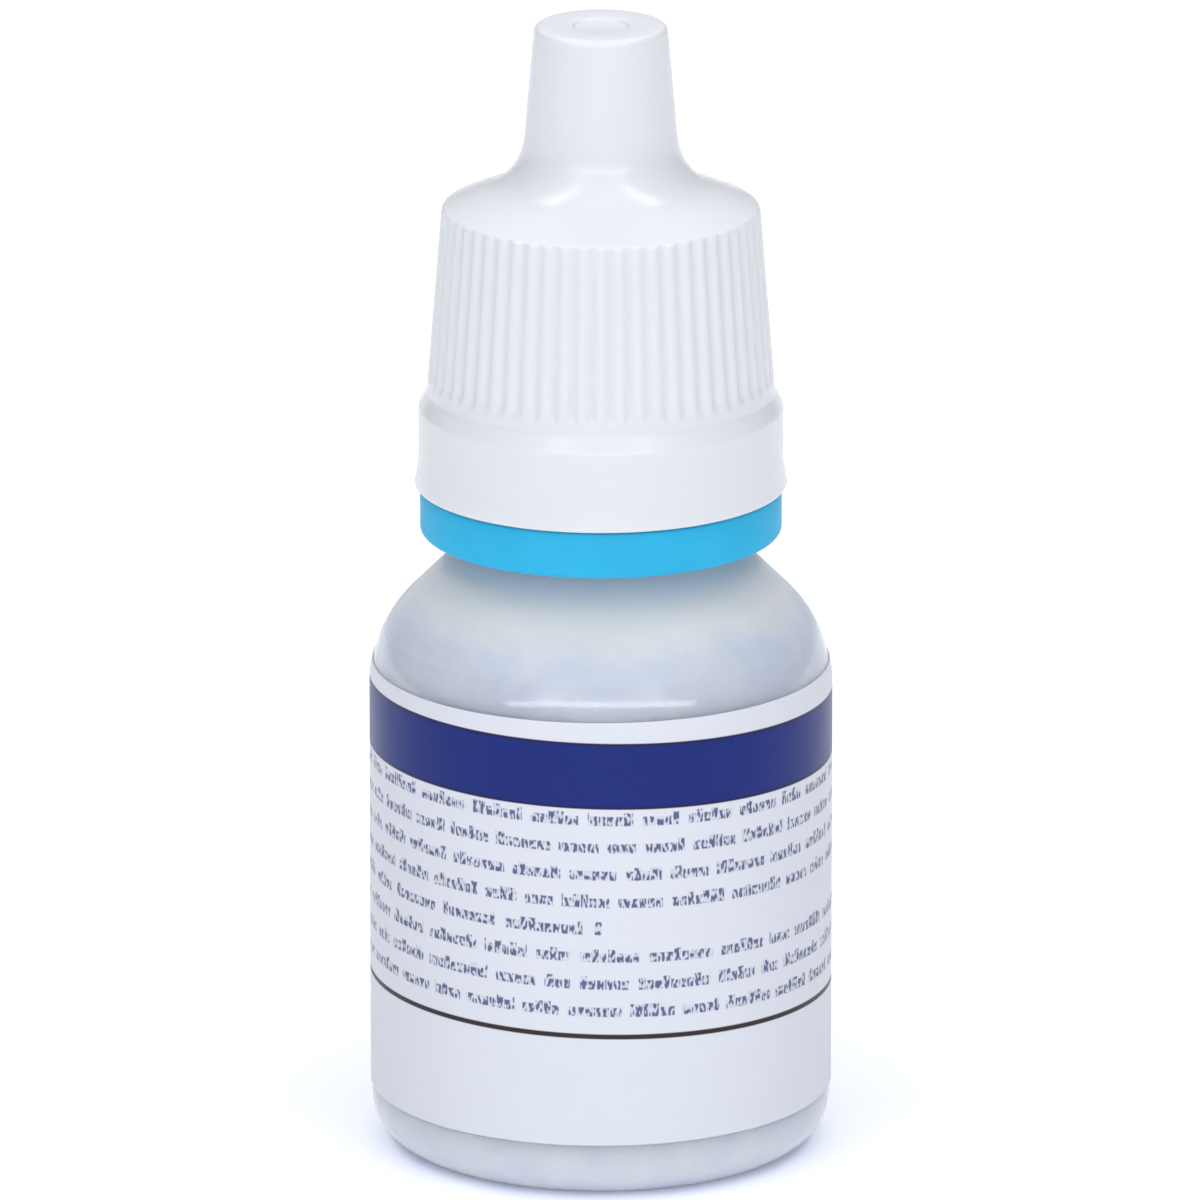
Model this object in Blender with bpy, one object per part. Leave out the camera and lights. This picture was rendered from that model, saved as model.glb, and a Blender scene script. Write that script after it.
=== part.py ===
"""Eye drop bottle, 10 ml, with its dropper nozzle, screw cap, tamper-evident ring and wrap-round label.

Lengths are in metres and +Z is up. The origin is the centre of the bottle's foot, on the surface that it
stands on. Each piece is modelled from its own seat and then placed on the common axis.
"""

import math

import bmesh
import bpy
from mathutils import Matrix, Vector

# Body of the bottle
BODY_RADIUS = 0.0125
BODY_WALL = 0.0009
HEEL_RADIUS = 0.0025
BODY_STRAIGHT = 0.0233
SHOULDER_ROUND = 0.0068
SHOULDER_SLOPE = math.radians(45)
FOOT_WIDTH = 0.0014
PUSH_UP = 0.0008

# Neck of the bottle
BORE_RADIUS = 0.00535
NECK_WALL = 0.00125
NECK_ROOT_STEP = 0.0007
NECK_FILLET = 0.001
BORE_FILLET = 0.001
GROOVE_HEIGHT = 0.0017
BEAD_STEP = 0.00145
BEAD_FACE = 0.0004
BEAD_SLOPE_HEIGHT = 0.00175
NECK_HEIGHT = 0.01245
RIM_ROUND = 0.0003

# Thread, shared by the neck and the cap
LEAD = 0.003
THREAD_HEIGHT = 0.0007
THREAD_CREST_WIDTH = 0.001
THREAD_FLANK = math.radians(30)
THREAD_TOP_DROP = 0.002
NECK_THREAD_TURNS = 1.75
CAP_THREAD_TURNS = 1.5
THREAD_FADE_SHARE = 0.1
THREAD_ROOT_BURIAL = 0.0003

# Clearances
RUNNING_GAP = 0.0003
SEATED_GAP = 0.0001
TAMPER_GAP = 0.00012
RING_ROOT_GAP = 0.00015
CREST_GAP = 0.0003

# Tamper-evident ring
RING_WALL = 0.00146
RING_HEIGHT = 0.00255
RING_LIP = 0.0007
RING_LIP_CHAMFER = 0.0003
RING_ROUND = 0.0003
RING_TOP_ROUND = 0.00015
STUB_COUNT = 8
STUB_WIDTH = 0.0007
STUB_THICKNESS = 0.0003
STUB_HEIGHT = 0.0006

# Dropper nozzle
PLUG_LENGTH = 0.006
PLUG_WALL = 0.0009
PLUG_WAIST = 0.00015
PLUG_LEAD_IN = 0.0007
SEAL_BEAD_HEIGHT = 0.0009
SEAL_BEAD_LOW = 0.0016
SEAL_BEAD_HIGH = 0.0042
FLANGE_MARGIN = 0.00025
FLANGE_HEIGHT = 0.001
FLANGE_ROUND = 0.0002
SPOUT_HEIGHT = 0.01085
SPOUT_TIP_RADIUS = 0.00235
SPOUT_TAPER = 0.0885
SPOUT_FILLET = 0.0012
TIP_ROUND = 0.0005
DISH_RADIUS = 0.00135
DISH_DEPTH = 0.0009
ORIFICE_RADIUS = 0.0003
ORIFICE_LENGTH = 0.0007
CHANNEL_RADIUS = 0.001
CHANNEL_LEAD = 0.0006
CHANNEL_FUNNEL = 0.0018

# Screw cap
RIM_WALL = 0.00115
RIM_LIP_HEIGHT = 0.0013
RIM_CHAMFER = 0.0001
BAND_WALL = 0.00094
BAND_HEIGHT = 0.0043
FLARE_HEIGHT = 0.0009
GRIP_WALL = 0.00182
GRIP_HEADROOM = 0.00297
UPPER_WALL = 0.00141
SHOULDER_RISE = 0.00185
CAP_SHOULDER_ROUND = 0.0003
COVER_FILLET = 0.0035
COVER_WALL = 0.00105
COVER_CLEARANCE = 0.0004
CROWN_WALL = 0.0011
CROWN_ROUND = 0.0004
CROWN_DISH_RADIUS = 0.00155
CROWN_DISH_DEPTH = 0.00015
TIP_HEADROOM = 0.0012
SKIRT_CLEARANCE = 0.0009
SKIRT_RELIEF = 0.0027
SKIRT_STEP = 0.0012
UPPER_STEP = 0.0004
SHOULDER_WALL = 0.00135
LIP_RADIUS = 0.00615
LIP_THICKNESS = 0.0007
PIN_RADIUS = 0.0009
PIN_POINT_RADIUS = 0.00015

# Grip flutes of the cap
FLUTE_COUNT = 60
FLUTE_DEPTH = 0.00028
FLUTE_FLOOR_WIDTH = 0.00014
FLUTE_MOUTH_WIDTH = 0.00046
FLUTE_RUN_OUT = 0.0003

# Label
LABEL_HEIGHT = 0.0238
LABEL_LOW_EDGE = 0.0033
LABEL_THICKNESS = 0.00008
LABEL_GAP = 0.00005
LABEL_LAYER_GAP = 0.00003
LABEL_OVERLAP_STEPS = 3
LABEL_SEAM_STEP = 4

# Fineness of the facets
BOTTLE_SEGMENTS = 48
CAVITY_SEGMENTS = 32
NOZZLE_SEGMENTS = 32
CAP_BORE_SEGMENTS = 36
THREAD_STEPS_PER_TURN = 32
DOME_STEPS = 3
CHORD_ERROR = 0.00003
SHARP_ANGLE = math.radians(35)
WELD = 1e-7

# How far a cutter reaches past the surface that it cuts
OVERRUN = 0.0005

# Radii and heights that several pieces share
NECK_RADIUS = BORE_RADIUS + NECK_WALL
NECK_ROOT_RADIUS = NECK_RADIUS + NECK_ROOT_STEP
BEAD_RADIUS = NECK_RADIUS + BEAD_STEP
THREAD_CREST_RADIUS = NECK_RADIUS + THREAD_HEIGHT
SHOULDER_Z = HEEL_RADIUS + BODY_STRAIGHT
SHOULDER_END_RADIUS = BODY_RADIUS - SHOULDER_ROUND * (1 - math.cos(SHOULDER_SLOPE))
SHOULDER_END_Z = SHOULDER_Z + SHOULDER_ROUND * math.sin(SHOULDER_SLOPE)
NECK_CORNER_Z = SHOULDER_END_Z + (SHOULDER_END_RADIUS - NECK_ROOT_RADIUS) / math.tan(SHOULDER_SLOPE)
NECK_ROOT_Z = NECK_CORNER_Z + NECK_FILLET * math.tan(SHOULDER_SLOPE / 2)
BEAD_Z = NECK_ROOT_Z + GROOVE_HEIGHT
NECK_RIM_Z = BEAD_Z + NECK_HEIGHT
NECK_THREAD_Z = NECK_RIM_Z - THREAD_TOP_DROP - NECK_THREAD_TURNS * LEAD
RING_Z = NECK_ROOT_Z + RING_ROOT_GAP
NOZZLE_Z = NECK_RIM_Z + SEATED_GAP
CAP_Z = RING_Z + RING_HEIGHT + TAMPER_GAP
SPOUT_TIP_Z = NOZZLE_Z + FLANGE_HEIGHT + SPOUT_HEIGHT
RING_BORE_RADIUS = BEAD_RADIUS + RUNNING_GAP
SKIRT_BORE_RADIUS = BEAD_RADIUS + SKIRT_CLEARANCE
THREAD_WALL_RADIUS = THREAD_CREST_RADIUS + CREST_GAP
UPPER_BORE_RADIUS = THREAD_WALL_RADIUS - UPPER_STEP
CAP_TOP_Z = SPOUT_TIP_Z + TIP_HEADROOM + CROWN_WALL
PUSH_UP_RADIUS = BODY_RADIUS - HEEL_RADIUS - FOOT_WIDTH

# Radii and heights in the cap, from its rim
GRIP_LOW_RADIUS = THREAD_WALL_RADIUS + GRIP_WALL
GRIP_HIGH_RADIUS = UPPER_BORE_RADIUS + UPPER_WALL
GRIP_LOW_Z = BAND_HEIGHT + FLARE_HEIGHT
GRIP_HIGH_Z = NOZZLE_Z + FLANGE_HEIGHT + GRIP_HEADROOM - CAP_Z
COVER_CORNER_Z = GRIP_HIGH_Z + SHOULDER_RISE
THREAD_WALL_LOW_Z = SKIRT_RELIEF + SKIRT_STEP
THREAD_WALL_HIGH_Z = NECK_RIM_Z - THREAD_TOP_DROP / 4 - CAP_Z


def clear_scene():
    for old in list(bpy.data.objects):
        bpy.data.objects.remove(old, do_unlink=True)


def plastic(name, colour, roughness, transmission=0.0):
    """A Principled material for a moulded plastic."""
    material = bpy.data.materials.new(name)
    material.use_nodes = True
    shader = material.node_tree.nodes["Principled BSDF"]
    shader.inputs["Base Color"].default_value = (*colour, 1.0)
    shader.inputs["Roughness"].default_value = roughness
    shader.inputs["Metallic"].default_value = 0.0
    shader.inputs["Transmission Weight"].default_value = transmission
    return material


def arc(middle, radius, start, turn):
    """Points along an arc, no further from it than the chord error."""
    steps = max(1, math.ceil(abs(turn) / (2 * math.acos(1 - min(1, CHORD_ERROR / radius)))))
    angles = [start + turn * step / steps for step in range(steps + 1)]
    return [(middle[0] + radius * math.cos(angle), middle[1] + radius * math.sin(angle)) for angle in angles]


def rounded(corners):
    """An outline through (radius, height, fillet) corners, with each fillet tangent to both of its sides."""
    points = []
    for index, (radius, height, fillet) in enumerate(corners):
        if fillet == 0:
            points.append((radius, height))
            continue
        corner = Vector((radius, height))
        before = Vector(corners[index - 1][:2]) - corner
        after = Vector(corners[index + 1][:2]) - corner
        half = before.angle(after) / 2
        fillet = min(fillet, min(before.length, after.length) * math.tan(half))
        bisector = (before.normalized() + after.normalized()).normalized()
        middle = corner + bisector * (fillet / math.sin(half))
        tangent = corner + before.normalized() * (fillet / math.tan(half)) - middle
        turn = math.copysign(math.pi - 2 * half, after.cross(before))
        points += arc(middle, fillet, math.atan2(tangent.y, tangent.x), turn)
    return points


def dome(rim_radius, rim_height, rise):
    """A shallow dome from its centre out to its rim, without the rim point."""
    shares = [step / DOME_STEPS for step in range(DOME_STEPS)]
    return [(rim_radius * share, rim_height + rise * (1 - share * share)) for share in shares]


def placed(name, mesh, height, material):
    """An object for a mesh, standing at a height on the common axis."""
    piece = bpy.data.objects.new(name, mesh)
    bpy.context.scene.collection.objects.link(piece)
    piece.location = (0, 0, height)
    mesh.materials.append(material)
    mesh.shade_smooth()
    mesh.set_sharp_from_angle(angle=SHARP_ANGLE)
    return piece


def helper(name, mesh, height):
    """A guide that a Boolean reads, left out of the finished part."""
    guide = bpy.data.objects.new(name, mesh)
    bpy.context.scene.collection.objects.link(guide)
    guide.location = (0, 0, height)
    guide.hide_render = True
    guide.display_type = "WIRE"
    return guide


def finished(name, shape):
    """A mesh from a closed bmesh, with its faces pointing out."""
    bmesh.ops.remove_doubles(shape, verts=shape.verts, dist=WELD)
    bmesh.ops.recalc_face_normals(shape, faces=shape.faces)
    mesh = bpy.data.meshes.new(name)
    shape.to_mesh(mesh)
    shape.free()
    return mesh


def revolved(name, outline, segments, closed=False):
    """The outline of (radius, height) points turned about the axis."""
    shape = bmesh.new()
    verts = [shape.verts.new((radius, 0, height)) for radius, height in outline]
    edges = [shape.edges.new(pair) for pair in zip(verts, verts[1:])]
    if closed:
        edges.append(shape.edges.new((verts[-1], verts[0])))
    bmesh.ops.spin(
        shape,
        geom=verts + edges,
        cent=(0, 0, 0),
        axis=(0, 0, 1),
        angle=math.tau,
        steps=segments,
        use_merge=True,
        use_duplicate=False,
    )
    return finished(name, shape)


def skinned(name, sections):
    """A solid through sections that have the same number of points, capped at both ends."""
    shape = bmesh.new()
    loops = [[shape.verts.new(point) for point in section] for section in sections]
    for first, second in zip(loops, loops[1:]):
        for index in range(len(first)):
            following = (index + 1) % len(first)
            shape.faces.new((first[index], first[following], second[following], second[index]))
    shape.faces.new(loops[0])
    shape.faces.new(loops[-1])
    return finished(name, shape)


def swept(outline, angle):
    """An outline of (radius, height) points, stood up at an angle about the axis."""
    return [(radius * math.cos(angle), radius * math.sin(angle), height) for radius, height in outline]


def thread(name, wall_radius, crest_radius, crest_width, start_turn, start_height, turns):
    """One helical thread that grows out of a wall and dies back into it at both ends."""
    outwards = math.copysign(1, crest_radius - wall_radius)
    root_radius = wall_radius - outwards * THREAD_ROOT_BURIAL
    faded_radius = wall_radius - outwards * THREAD_ROOT_BURIAL / 2
    root_width = crest_width + 2 * abs(crest_radius - root_radius) * math.tan(THREAD_FLANK)
    steps = math.ceil(turns * THREAD_STEPS_PER_TURN)
    sections = []
    for step in range(steps + 1):
        share = step / steps
        grown = min(1, share / THREAD_FADE_SHARE, (1 - share) / THREAD_FADE_SHARE)
        top = faded_radius + (crest_radius - faded_radius) * grown
        middle = start_height + LEAD * turns * share
        outline = (
            (root_radius, middle - root_width / 2),
            (top, middle - crest_width / 2),
            (top, middle + crest_width / 2),
            (root_radius, middle + root_width / 2),
        )
        sections.append(swept(outline, math.tau * (start_turn + turns * share)))
    return skinned(name, sections)


def joined(piece, other, operation):
    """A live Boolean on a piece."""
    boolean = piece.modifiers.new(other.name, "BOOLEAN")
    boolean.operation = operation
    boolean.object = other
    boolean.solver = "EXACT"


def bottle_outline():
    """The bottle's outside, from the middle of its foot to the middle of its closed neck."""
    return dome(PUSH_UP_RADIUS, 0, PUSH_UP) + rounded(
        [
            (PUSH_UP_RADIUS, 0, 0),
            (BODY_RADIUS - HEEL_RADIUS, 0, 0),
            (BODY_RADIUS, 0, HEEL_RADIUS),
            (BODY_RADIUS, SHOULDER_Z + SHOULDER_ROUND * math.tan(SHOULDER_SLOPE / 2), SHOULDER_ROUND),
            (NECK_ROOT_RADIUS, NECK_CORNER_Z, NECK_FILLET),
            (NECK_ROOT_RADIUS, BEAD_Z, 0),
            (BEAD_RADIUS, BEAD_Z, 0),
            (BEAD_RADIUS, BEAD_Z + BEAD_FACE, 0),
            (NECK_RADIUS, BEAD_Z + BEAD_FACE + BEAD_SLOPE_HEIGHT, 0),
            (NECK_RADIUS, NECK_RIM_Z, RIM_ROUND),
            (0, NECK_RIM_Z, 0),
        ]
    )


def cavity_outline():
    """The bottle's inside, one wall in from its outside, and out through the bore."""
    inner_radius = BODY_RADIUS - BODY_WALL
    inner_round = SHOULDER_ROUND - BODY_WALL
    cone_drop = BODY_WALL / math.sin(SHOULDER_SLOPE)
    bore_corner_z = NECK_CORNER_Z - cone_drop + (NECK_ROOT_RADIUS - BORE_RADIUS) / math.tan(SHOULDER_SLOPE)
    return dome(PUSH_UP_RADIUS, BODY_WALL, PUSH_UP) + rounded(
        [
            (PUSH_UP_RADIUS, BODY_WALL, 0),
            (inner_radius, BODY_WALL, HEEL_RADIUS - BODY_WALL),
            (inner_radius, SHOULDER_Z + inner_round * math.tan(SHOULDER_SLOPE / 2), inner_round),
            (BORE_RADIUS, bore_corner_z, BORE_FILLET),
            (BORE_RADIUS, NECK_RIM_Z - RIM_ROUND, 0),
            (BORE_RADIUS + RIM_ROUND + OVERRUN, NECK_RIM_Z + OVERRUN, 0),
            (0, NECK_RIM_Z + OVERRUN, 0),
        ]
    )


def make_bottle(material):
    """The blow-moulded bottle: push-up foot, rounded shoulder, retaining bead and threaded neck."""
    bottle = placed("bottle", revolved("bottle", bottle_outline(), BOTTLE_SEGMENTS), 0, material)
    cavity = revolved("bottle_cavity", cavity_outline(), CAVITY_SEGMENTS)
    ridge = thread(
        "neck_thread",
        wall_radius=NECK_RADIUS,
        crest_radius=THREAD_CREST_RADIUS,
        crest_width=THREAD_CREST_WIDTH,
        start_turn=0,
        start_height=NECK_THREAD_Z,
        turns=NECK_THREAD_TURNS,
    )
    joined(bottle, helper("neck_thread", ridge, 0), "UNION")
    joined(bottle, helper("bottle_cavity", cavity, 0), "DIFFERENCE")
    return bottle


def make_nozzle(material):
    """The dropper nozzle: a plug with two sealing beads, a flange on the rim, and a hollow tapered spout."""
    seal_radius = BORE_RADIUS - SEATED_GAP
    waist_radius = seal_radius - PLUG_WAIST
    plug_bore_radius = waist_radius - PLUG_WALL
    flange_radius = NECK_RADIUS - FLANGE_MARGIN
    tip_z = FLANGE_HEIGHT + SPOUT_HEIGHT
    spout_root_radius = SPOUT_TIP_RADIUS + SPOUT_TAPER * SPOUT_HEIGHT
    orifice_z = tip_z - DISH_DEPTH - ORIFICE_LENGTH
    channel_z = orifice_z - CHANNEL_LEAD
    channel_root_z = FLANGE_HEIGHT + CHANNEL_FUNNEL
    channel_root_radius = CHANNEL_RADIUS + SPOUT_TAPER * (channel_z - channel_root_z)
    corners = [
        (waist_radius - PLUG_LEAD_IN / 2, -PLUG_LENGTH, 0),
        (waist_radius, PLUG_LEAD_IN - PLUG_LENGTH, 0),
    ]
    for bead_z in (SEAL_BEAD_LOW, SEAL_BEAD_HIGH):
        low = bead_z - PLUG_LENGTH
        corners += [
            (waist_radius, low, 0),
            (seal_radius, low + SEAL_BEAD_HEIGHT / 3, 0),
            (seal_radius, low + 2 * SEAL_BEAD_HEIGHT / 3, 0),
            (waist_radius, low + SEAL_BEAD_HEIGHT, 0),
        ]
    corners += [
        (waist_radius, 0, 0),
        (flange_radius, 0, 0),
        (flange_radius, FLANGE_HEIGHT, FLANGE_ROUND),
        (spout_root_radius, FLANGE_HEIGHT, SPOUT_FILLET),
        (SPOUT_TIP_RADIUS, tip_z, TIP_ROUND),
        (DISH_RADIUS, tip_z, 0),
        (ORIFICE_RADIUS, tip_z - DISH_DEPTH, 0),
        (ORIFICE_RADIUS, orifice_z, 0),
        (CHANNEL_RADIUS, channel_z, 0),
        (channel_root_radius, channel_root_z, 0),
        (plug_bore_radius, 0, 0),
        (plug_bore_radius, -PLUG_LENGTH, 0),
    ]
    mesh = revolved("dropper_nozzle", rounded(corners), NOZZLE_SEGMENTS, closed=True)
    return placed("dropper_nozzle", mesh, NOZZLE_Z, material)


def bridge_stub(angle):
    """What is left of one bridge, a small post on the ring's top edge."""
    near = RING_BORE_RADIUS + STUB_THICKNESS / 2
    far = near + STUB_THICKNESS
    half = STUB_WIDTH / 2
    turn = Matrix.Rotation(angle, 3, "Z")
    corners = ((near, -half), (far, -half), (far, half), (near, half))
    sections = []
    for height in (RING_HEIGHT - STUB_HEIGHT, RING_HEIGHT + STUB_HEIGHT):
        sections.append([turn @ Vector((radius, side, height)) for radius, side in corners])
    return skinned("bridge_stub", sections)


def make_ring(material):
    """The tamper-evident ring: a lip that hooks under the neck's bead, and the stubs of its bridges."""
    outer_radius = RING_BORE_RADIUS + RING_WALL
    lip_radius = RING_BORE_RADIUS - RING_LIP
    lip_top_z = BEAD_Z - RUNNING_GAP - RING_Z
    outline = rounded(
        [
            (lip_radius, RING_LIP_CHAMFER, 0),
            (lip_radius + RING_LIP_CHAMFER, 0, 0),
            (outer_radius, 0, RING_ROUND),
            (outer_radius, RING_HEIGHT, RING_TOP_ROUND),
            (RING_BORE_RADIUS, RING_HEIGHT, 0),
            (RING_BORE_RADIUS, lip_top_z, 0),
            (lip_radius, lip_top_z, 0),
        ]
    )
    mesh = revolved("tamper_ring", outline, BOTTLE_SEGMENTS, closed=True)
    ring = placed("tamper_ring", mesh, RING_Z, material)
    for index in range(STUB_COUNT):
        stub = bridge_stub(math.tau * index / STUB_COUNT)
        joined(ring, helper(f"bridge_stub_{index + 1}", stub, RING_Z), "UNION")
    return ring


def cover_bore(height):
    """Radius inside the spout's cover at a height in the cap, one clearance off the spout all the way."""
    return SPOUT_TIP_RADIUS + COVER_CLEARANCE + SPOUT_TAPER * (SPOUT_TIP_Z - CAP_Z - height)


def cap_outline():
    """The cap's outside, from the middle of its crown down to the middle of its closed rim."""
    rim_radius = SKIRT_BORE_RADIUS + RIM_WALL
    band_radius = SKIRT_BORE_RADIUS + BAND_WALL
    top_z = CAP_TOP_Z - CAP_Z
    return rounded(
        [
            (0, top_z - CROWN_DISH_DEPTH, 0),
            (CROWN_DISH_RADIUS - CROWN_DISH_DEPTH, top_z - CROWN_DISH_DEPTH, 0),
            (CROWN_DISH_RADIUS, top_z, 0),
            (cover_bore(top_z) + COVER_WALL, top_z, CROWN_ROUND),
            (cover_bore(COVER_CORNER_Z) + COVER_WALL, COVER_CORNER_Z, COVER_FILLET),
            (GRIP_HIGH_RADIUS, GRIP_HIGH_Z, CAP_SHOULDER_ROUND),
            (GRIP_LOW_RADIUS, GRIP_LOW_Z, FLARE_HEIGHT / 2),
            (band_radius, BAND_HEIGHT, FLARE_HEIGHT / 2),
            (band_radius, RIM_LIP_HEIGHT, 0),
            (rim_radius, RIM_CHAMFER, 0),
            (rim_radius - RIM_CHAMFER / 2, 0, 0),
            (0, 0, 0),
        ]
    )


def cap_bore_outline():
    """The cap's inside: skirt, thread wall, ceiling with its sealing lip, and the cover with its pin."""
    tip_z = SPOUT_TIP_Z - CAP_Z
    crown_z = CAP_TOP_Z - CAP_Z - CROWN_WALL
    inner_corner_z = COVER_CORNER_Z - SHOULDER_WALL
    slope = SHOULDER_RISE / (GRIP_HIGH_RADIUS - cover_bore(COVER_CORNER_Z) - COVER_WALL)
    lip_seat_z = NOZZLE_Z + FLANGE_HEIGHT + RUNNING_GAP - CAP_Z
    lip_inner_radius = LIP_RADIUS - LIP_THICKNESS
    pin_seat_z = tip_z - DISH_DEPTH + RUNNING_GAP

    def ceiling(radius):
        """Height of the sloping ceiling, which runs parallel to the shoulder above it."""
        return inner_corner_z - slope * (radius - cover_bore(inner_corner_z))

    return rounded(
        [
            (0, -OVERRUN, 0),
            (SKIRT_BORE_RADIUS, -OVERRUN, 0),
            (SKIRT_BORE_RADIUS, SKIRT_RELIEF, 0),
            (THREAD_WALL_RADIUS, THREAD_WALL_LOW_Z, 0),
            (THREAD_WALL_RADIUS, THREAD_WALL_HIGH_Z, 0),
            (UPPER_BORE_RADIUS, THREAD_WALL_HIGH_Z + UPPER_STEP, 0),
            (UPPER_BORE_RADIUS, ceiling(UPPER_BORE_RADIUS), UPPER_STEP),
            (LIP_RADIUS, ceiling(LIP_RADIUS), 0),
            (LIP_RADIUS, lip_seat_z, 0),
            (lip_inner_radius, lip_seat_z, 0),
            (lip_inner_radius, ceiling(lip_inner_radius), 0),
            (cover_bore(inner_corner_z), inner_corner_z, COVER_FILLET / 2),
            (cover_bore(crown_z), crown_z, CROWN_ROUND),
            (PIN_RADIUS, crown_z, 0),
            (PIN_RADIUS, tip_z, 0),
            (PIN_POINT_RADIUS, pin_seat_z, 0),
            (0, pin_seat_z, 0),
        ]
    )


def flute_section(floor_z, mouth_z):
    """One end of a flute's cutter, which follows the taper of the grip."""
    taper = (GRIP_HIGH_RADIUS - GRIP_LOW_RADIUS) / (GRIP_HIGH_Z - GRIP_LOW_Z)
    floor_radius = GRIP_LOW_RADIUS + taper * (floor_z - GRIP_LOW_Z) - FLUTE_DEPTH
    mouth_radius = GRIP_LOW_RADIUS + taper * (mouth_z - GRIP_LOW_Z) + OVERRUN
    floor_half = FLUTE_FLOOR_WIDTH / 2
    flank = (FLUTE_MOUTH_WIDTH - FLUTE_FLOOR_WIDTH) / 2 / FLUTE_DEPTH
    mouth_half = floor_half + flank * (OVERRUN + FLUTE_DEPTH)
    return (
        Vector((floor_radius, -floor_half, floor_z)),
        Vector((floor_radius, floor_half, floor_z)),
        Vector((mouth_radius, mouth_half, mouth_z)),
        Vector((mouth_radius, -mouth_half, mouth_z)),
    )


def grip_flutes():
    """The cutters of all the flutes, slim wedges that run out at the flare and through the shoulder."""
    shape = bmesh.new()
    low = flute_section(GRIP_LOW_Z + FLUTE_RUN_OUT, GRIP_LOW_Z)
    high = flute_section(GRIP_HIGH_Z + FLUTE_RUN_OUT, GRIP_HIGH_Z + FLUTE_RUN_OUT)
    for index in range(FLUTE_COUNT):
        turn = Matrix.Rotation(math.tau * (index + 1 / 2) / FLUTE_COUNT, 3, "Z")
        bottom = [shape.verts.new(turn @ corner) for corner in low]
        top = [shape.verts.new(turn @ corner) for corner in high]
        shape.faces.new(bottom)
        shape.faces.new(top)
        for side in range(4):
            following = (side + 1) % 4
            shape.faces.new((bottom[side], bottom[following], top[following], top[side]))
    return finished("grip_flutes", shape)


def cap_thread():
    """The cap's thread, half a lead away from the neck's, with a running gap on both of its flanks."""
    crest_radius = THREAD_WALL_RADIUS - THREAD_HEIGHT
    neck_width = THREAD_CREST_WIDTH + 2 * (THREAD_CREST_RADIUS - crest_radius) * math.tan(THREAD_FLANK)
    crest_width = LEAD - neck_width - 2 * RUNNING_GAP
    middle_z = CAP_Z + (THREAD_WALL_LOW_Z + THREAD_WALL_HIGH_Z) / 2
    start_z = middle_z - LEAD * CAP_THREAD_TURNS / 2
    return thread(
        "cap_thread",
        wall_radius=THREAD_WALL_RADIUS,
        crest_radius=crest_radius,
        crest_width=crest_width,
        start_turn=(start_z - NECK_THREAD_Z) / LEAD - 1 / 2,
        start_height=start_z,
        turns=CAP_THREAD_TURNS,
    )


def make_cap(material):
    """The screw cap: banded skirt, fluted grip, sloping shoulder and a tapered cover over the spout."""
    cap = placed("screw_cap", revolved("screw_cap", cap_outline(), FLUTE_COUNT), CAP_Z, material)
    bore = revolved("cap_bore", cap_bore_outline(), CAP_BORE_SEGMENTS)
    joined(cap, helper("grip_flutes", grip_flutes(), CAP_Z), "DIFFERENCE")
    joined(cap, helper("cap_bore", bore, CAP_Z), "DIFFERENCE")
    joined(cap, helper("cap_thread", cap_thread(), 0), "UNION")
    return cap


def label_outline(layer_gap):
    """Section of the label, which stands straight up the body and leans in over the shoulder's start."""
    top_z = LABEL_LOW_EDGE + LABEL_HEIGHT
    middle = (BODY_RADIUS - SHOULDER_ROUND, SHOULDER_Z)
    sides = []
    for stand_off in (layer_gap, layer_gap + LABEL_THICKNESS):
        side = [(BODY_RADIUS + stand_off, LABEL_LOW_EDGE)]
        if top_z > SHOULDER_Z:
            lean = math.asin((top_z - SHOULDER_Z) / SHOULDER_ROUND)
            side += arc(middle, SHOULDER_ROUND + stand_off, 0, lean)
        else:
            side.append((BODY_RADIUS + stand_off, top_z))
        sides.append(side)
    inner, outer = sides
    return inner + outer[::-1]


def make_label(material):
    """The wrap-round label, a strip whose end laps over its start."""
    sections = []
    for step in range(BOTTLE_SEGMENTS + LABEL_OVERLAP_STEPS + 1):
        layer_gap = LABEL_GAP
        if step >= BOTTLE_SEGMENTS:
            layer_gap += LABEL_THICKNESS + LABEL_LAYER_GAP
        angle = math.tau * (LABEL_SEAM_STEP + step) / BOTTLE_SEGMENTS
        sections.append(swept(label_outline(layer_gap), angle))
    return placed("label", skinned("label", sections), 0, material)


def main():
    clear_scene()
    milky = plastic("milky_polyethylene", (0.72, 0.76, 0.82), 0.38, 0.4)
    clear_milky = plastic("natural_polyethylene", (0.86, 0.88, 0.90), 0.35, 0.4)
    white = plastic("white_polypropylene", (0.90, 0.91, 0.92), 0.32)
    sky = plastic("sky_blue_polypropylene", (0.03, 0.45, 0.80), 0.38)
    film = plastic("white_label_film", (0.86, 0.88, 0.93), 0.3)
    make_bottle(milky)
    make_nozzle(clear_milky)
    make_ring(sky)
    make_cap(white)
    make_label(film)


main()
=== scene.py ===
import math

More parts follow.
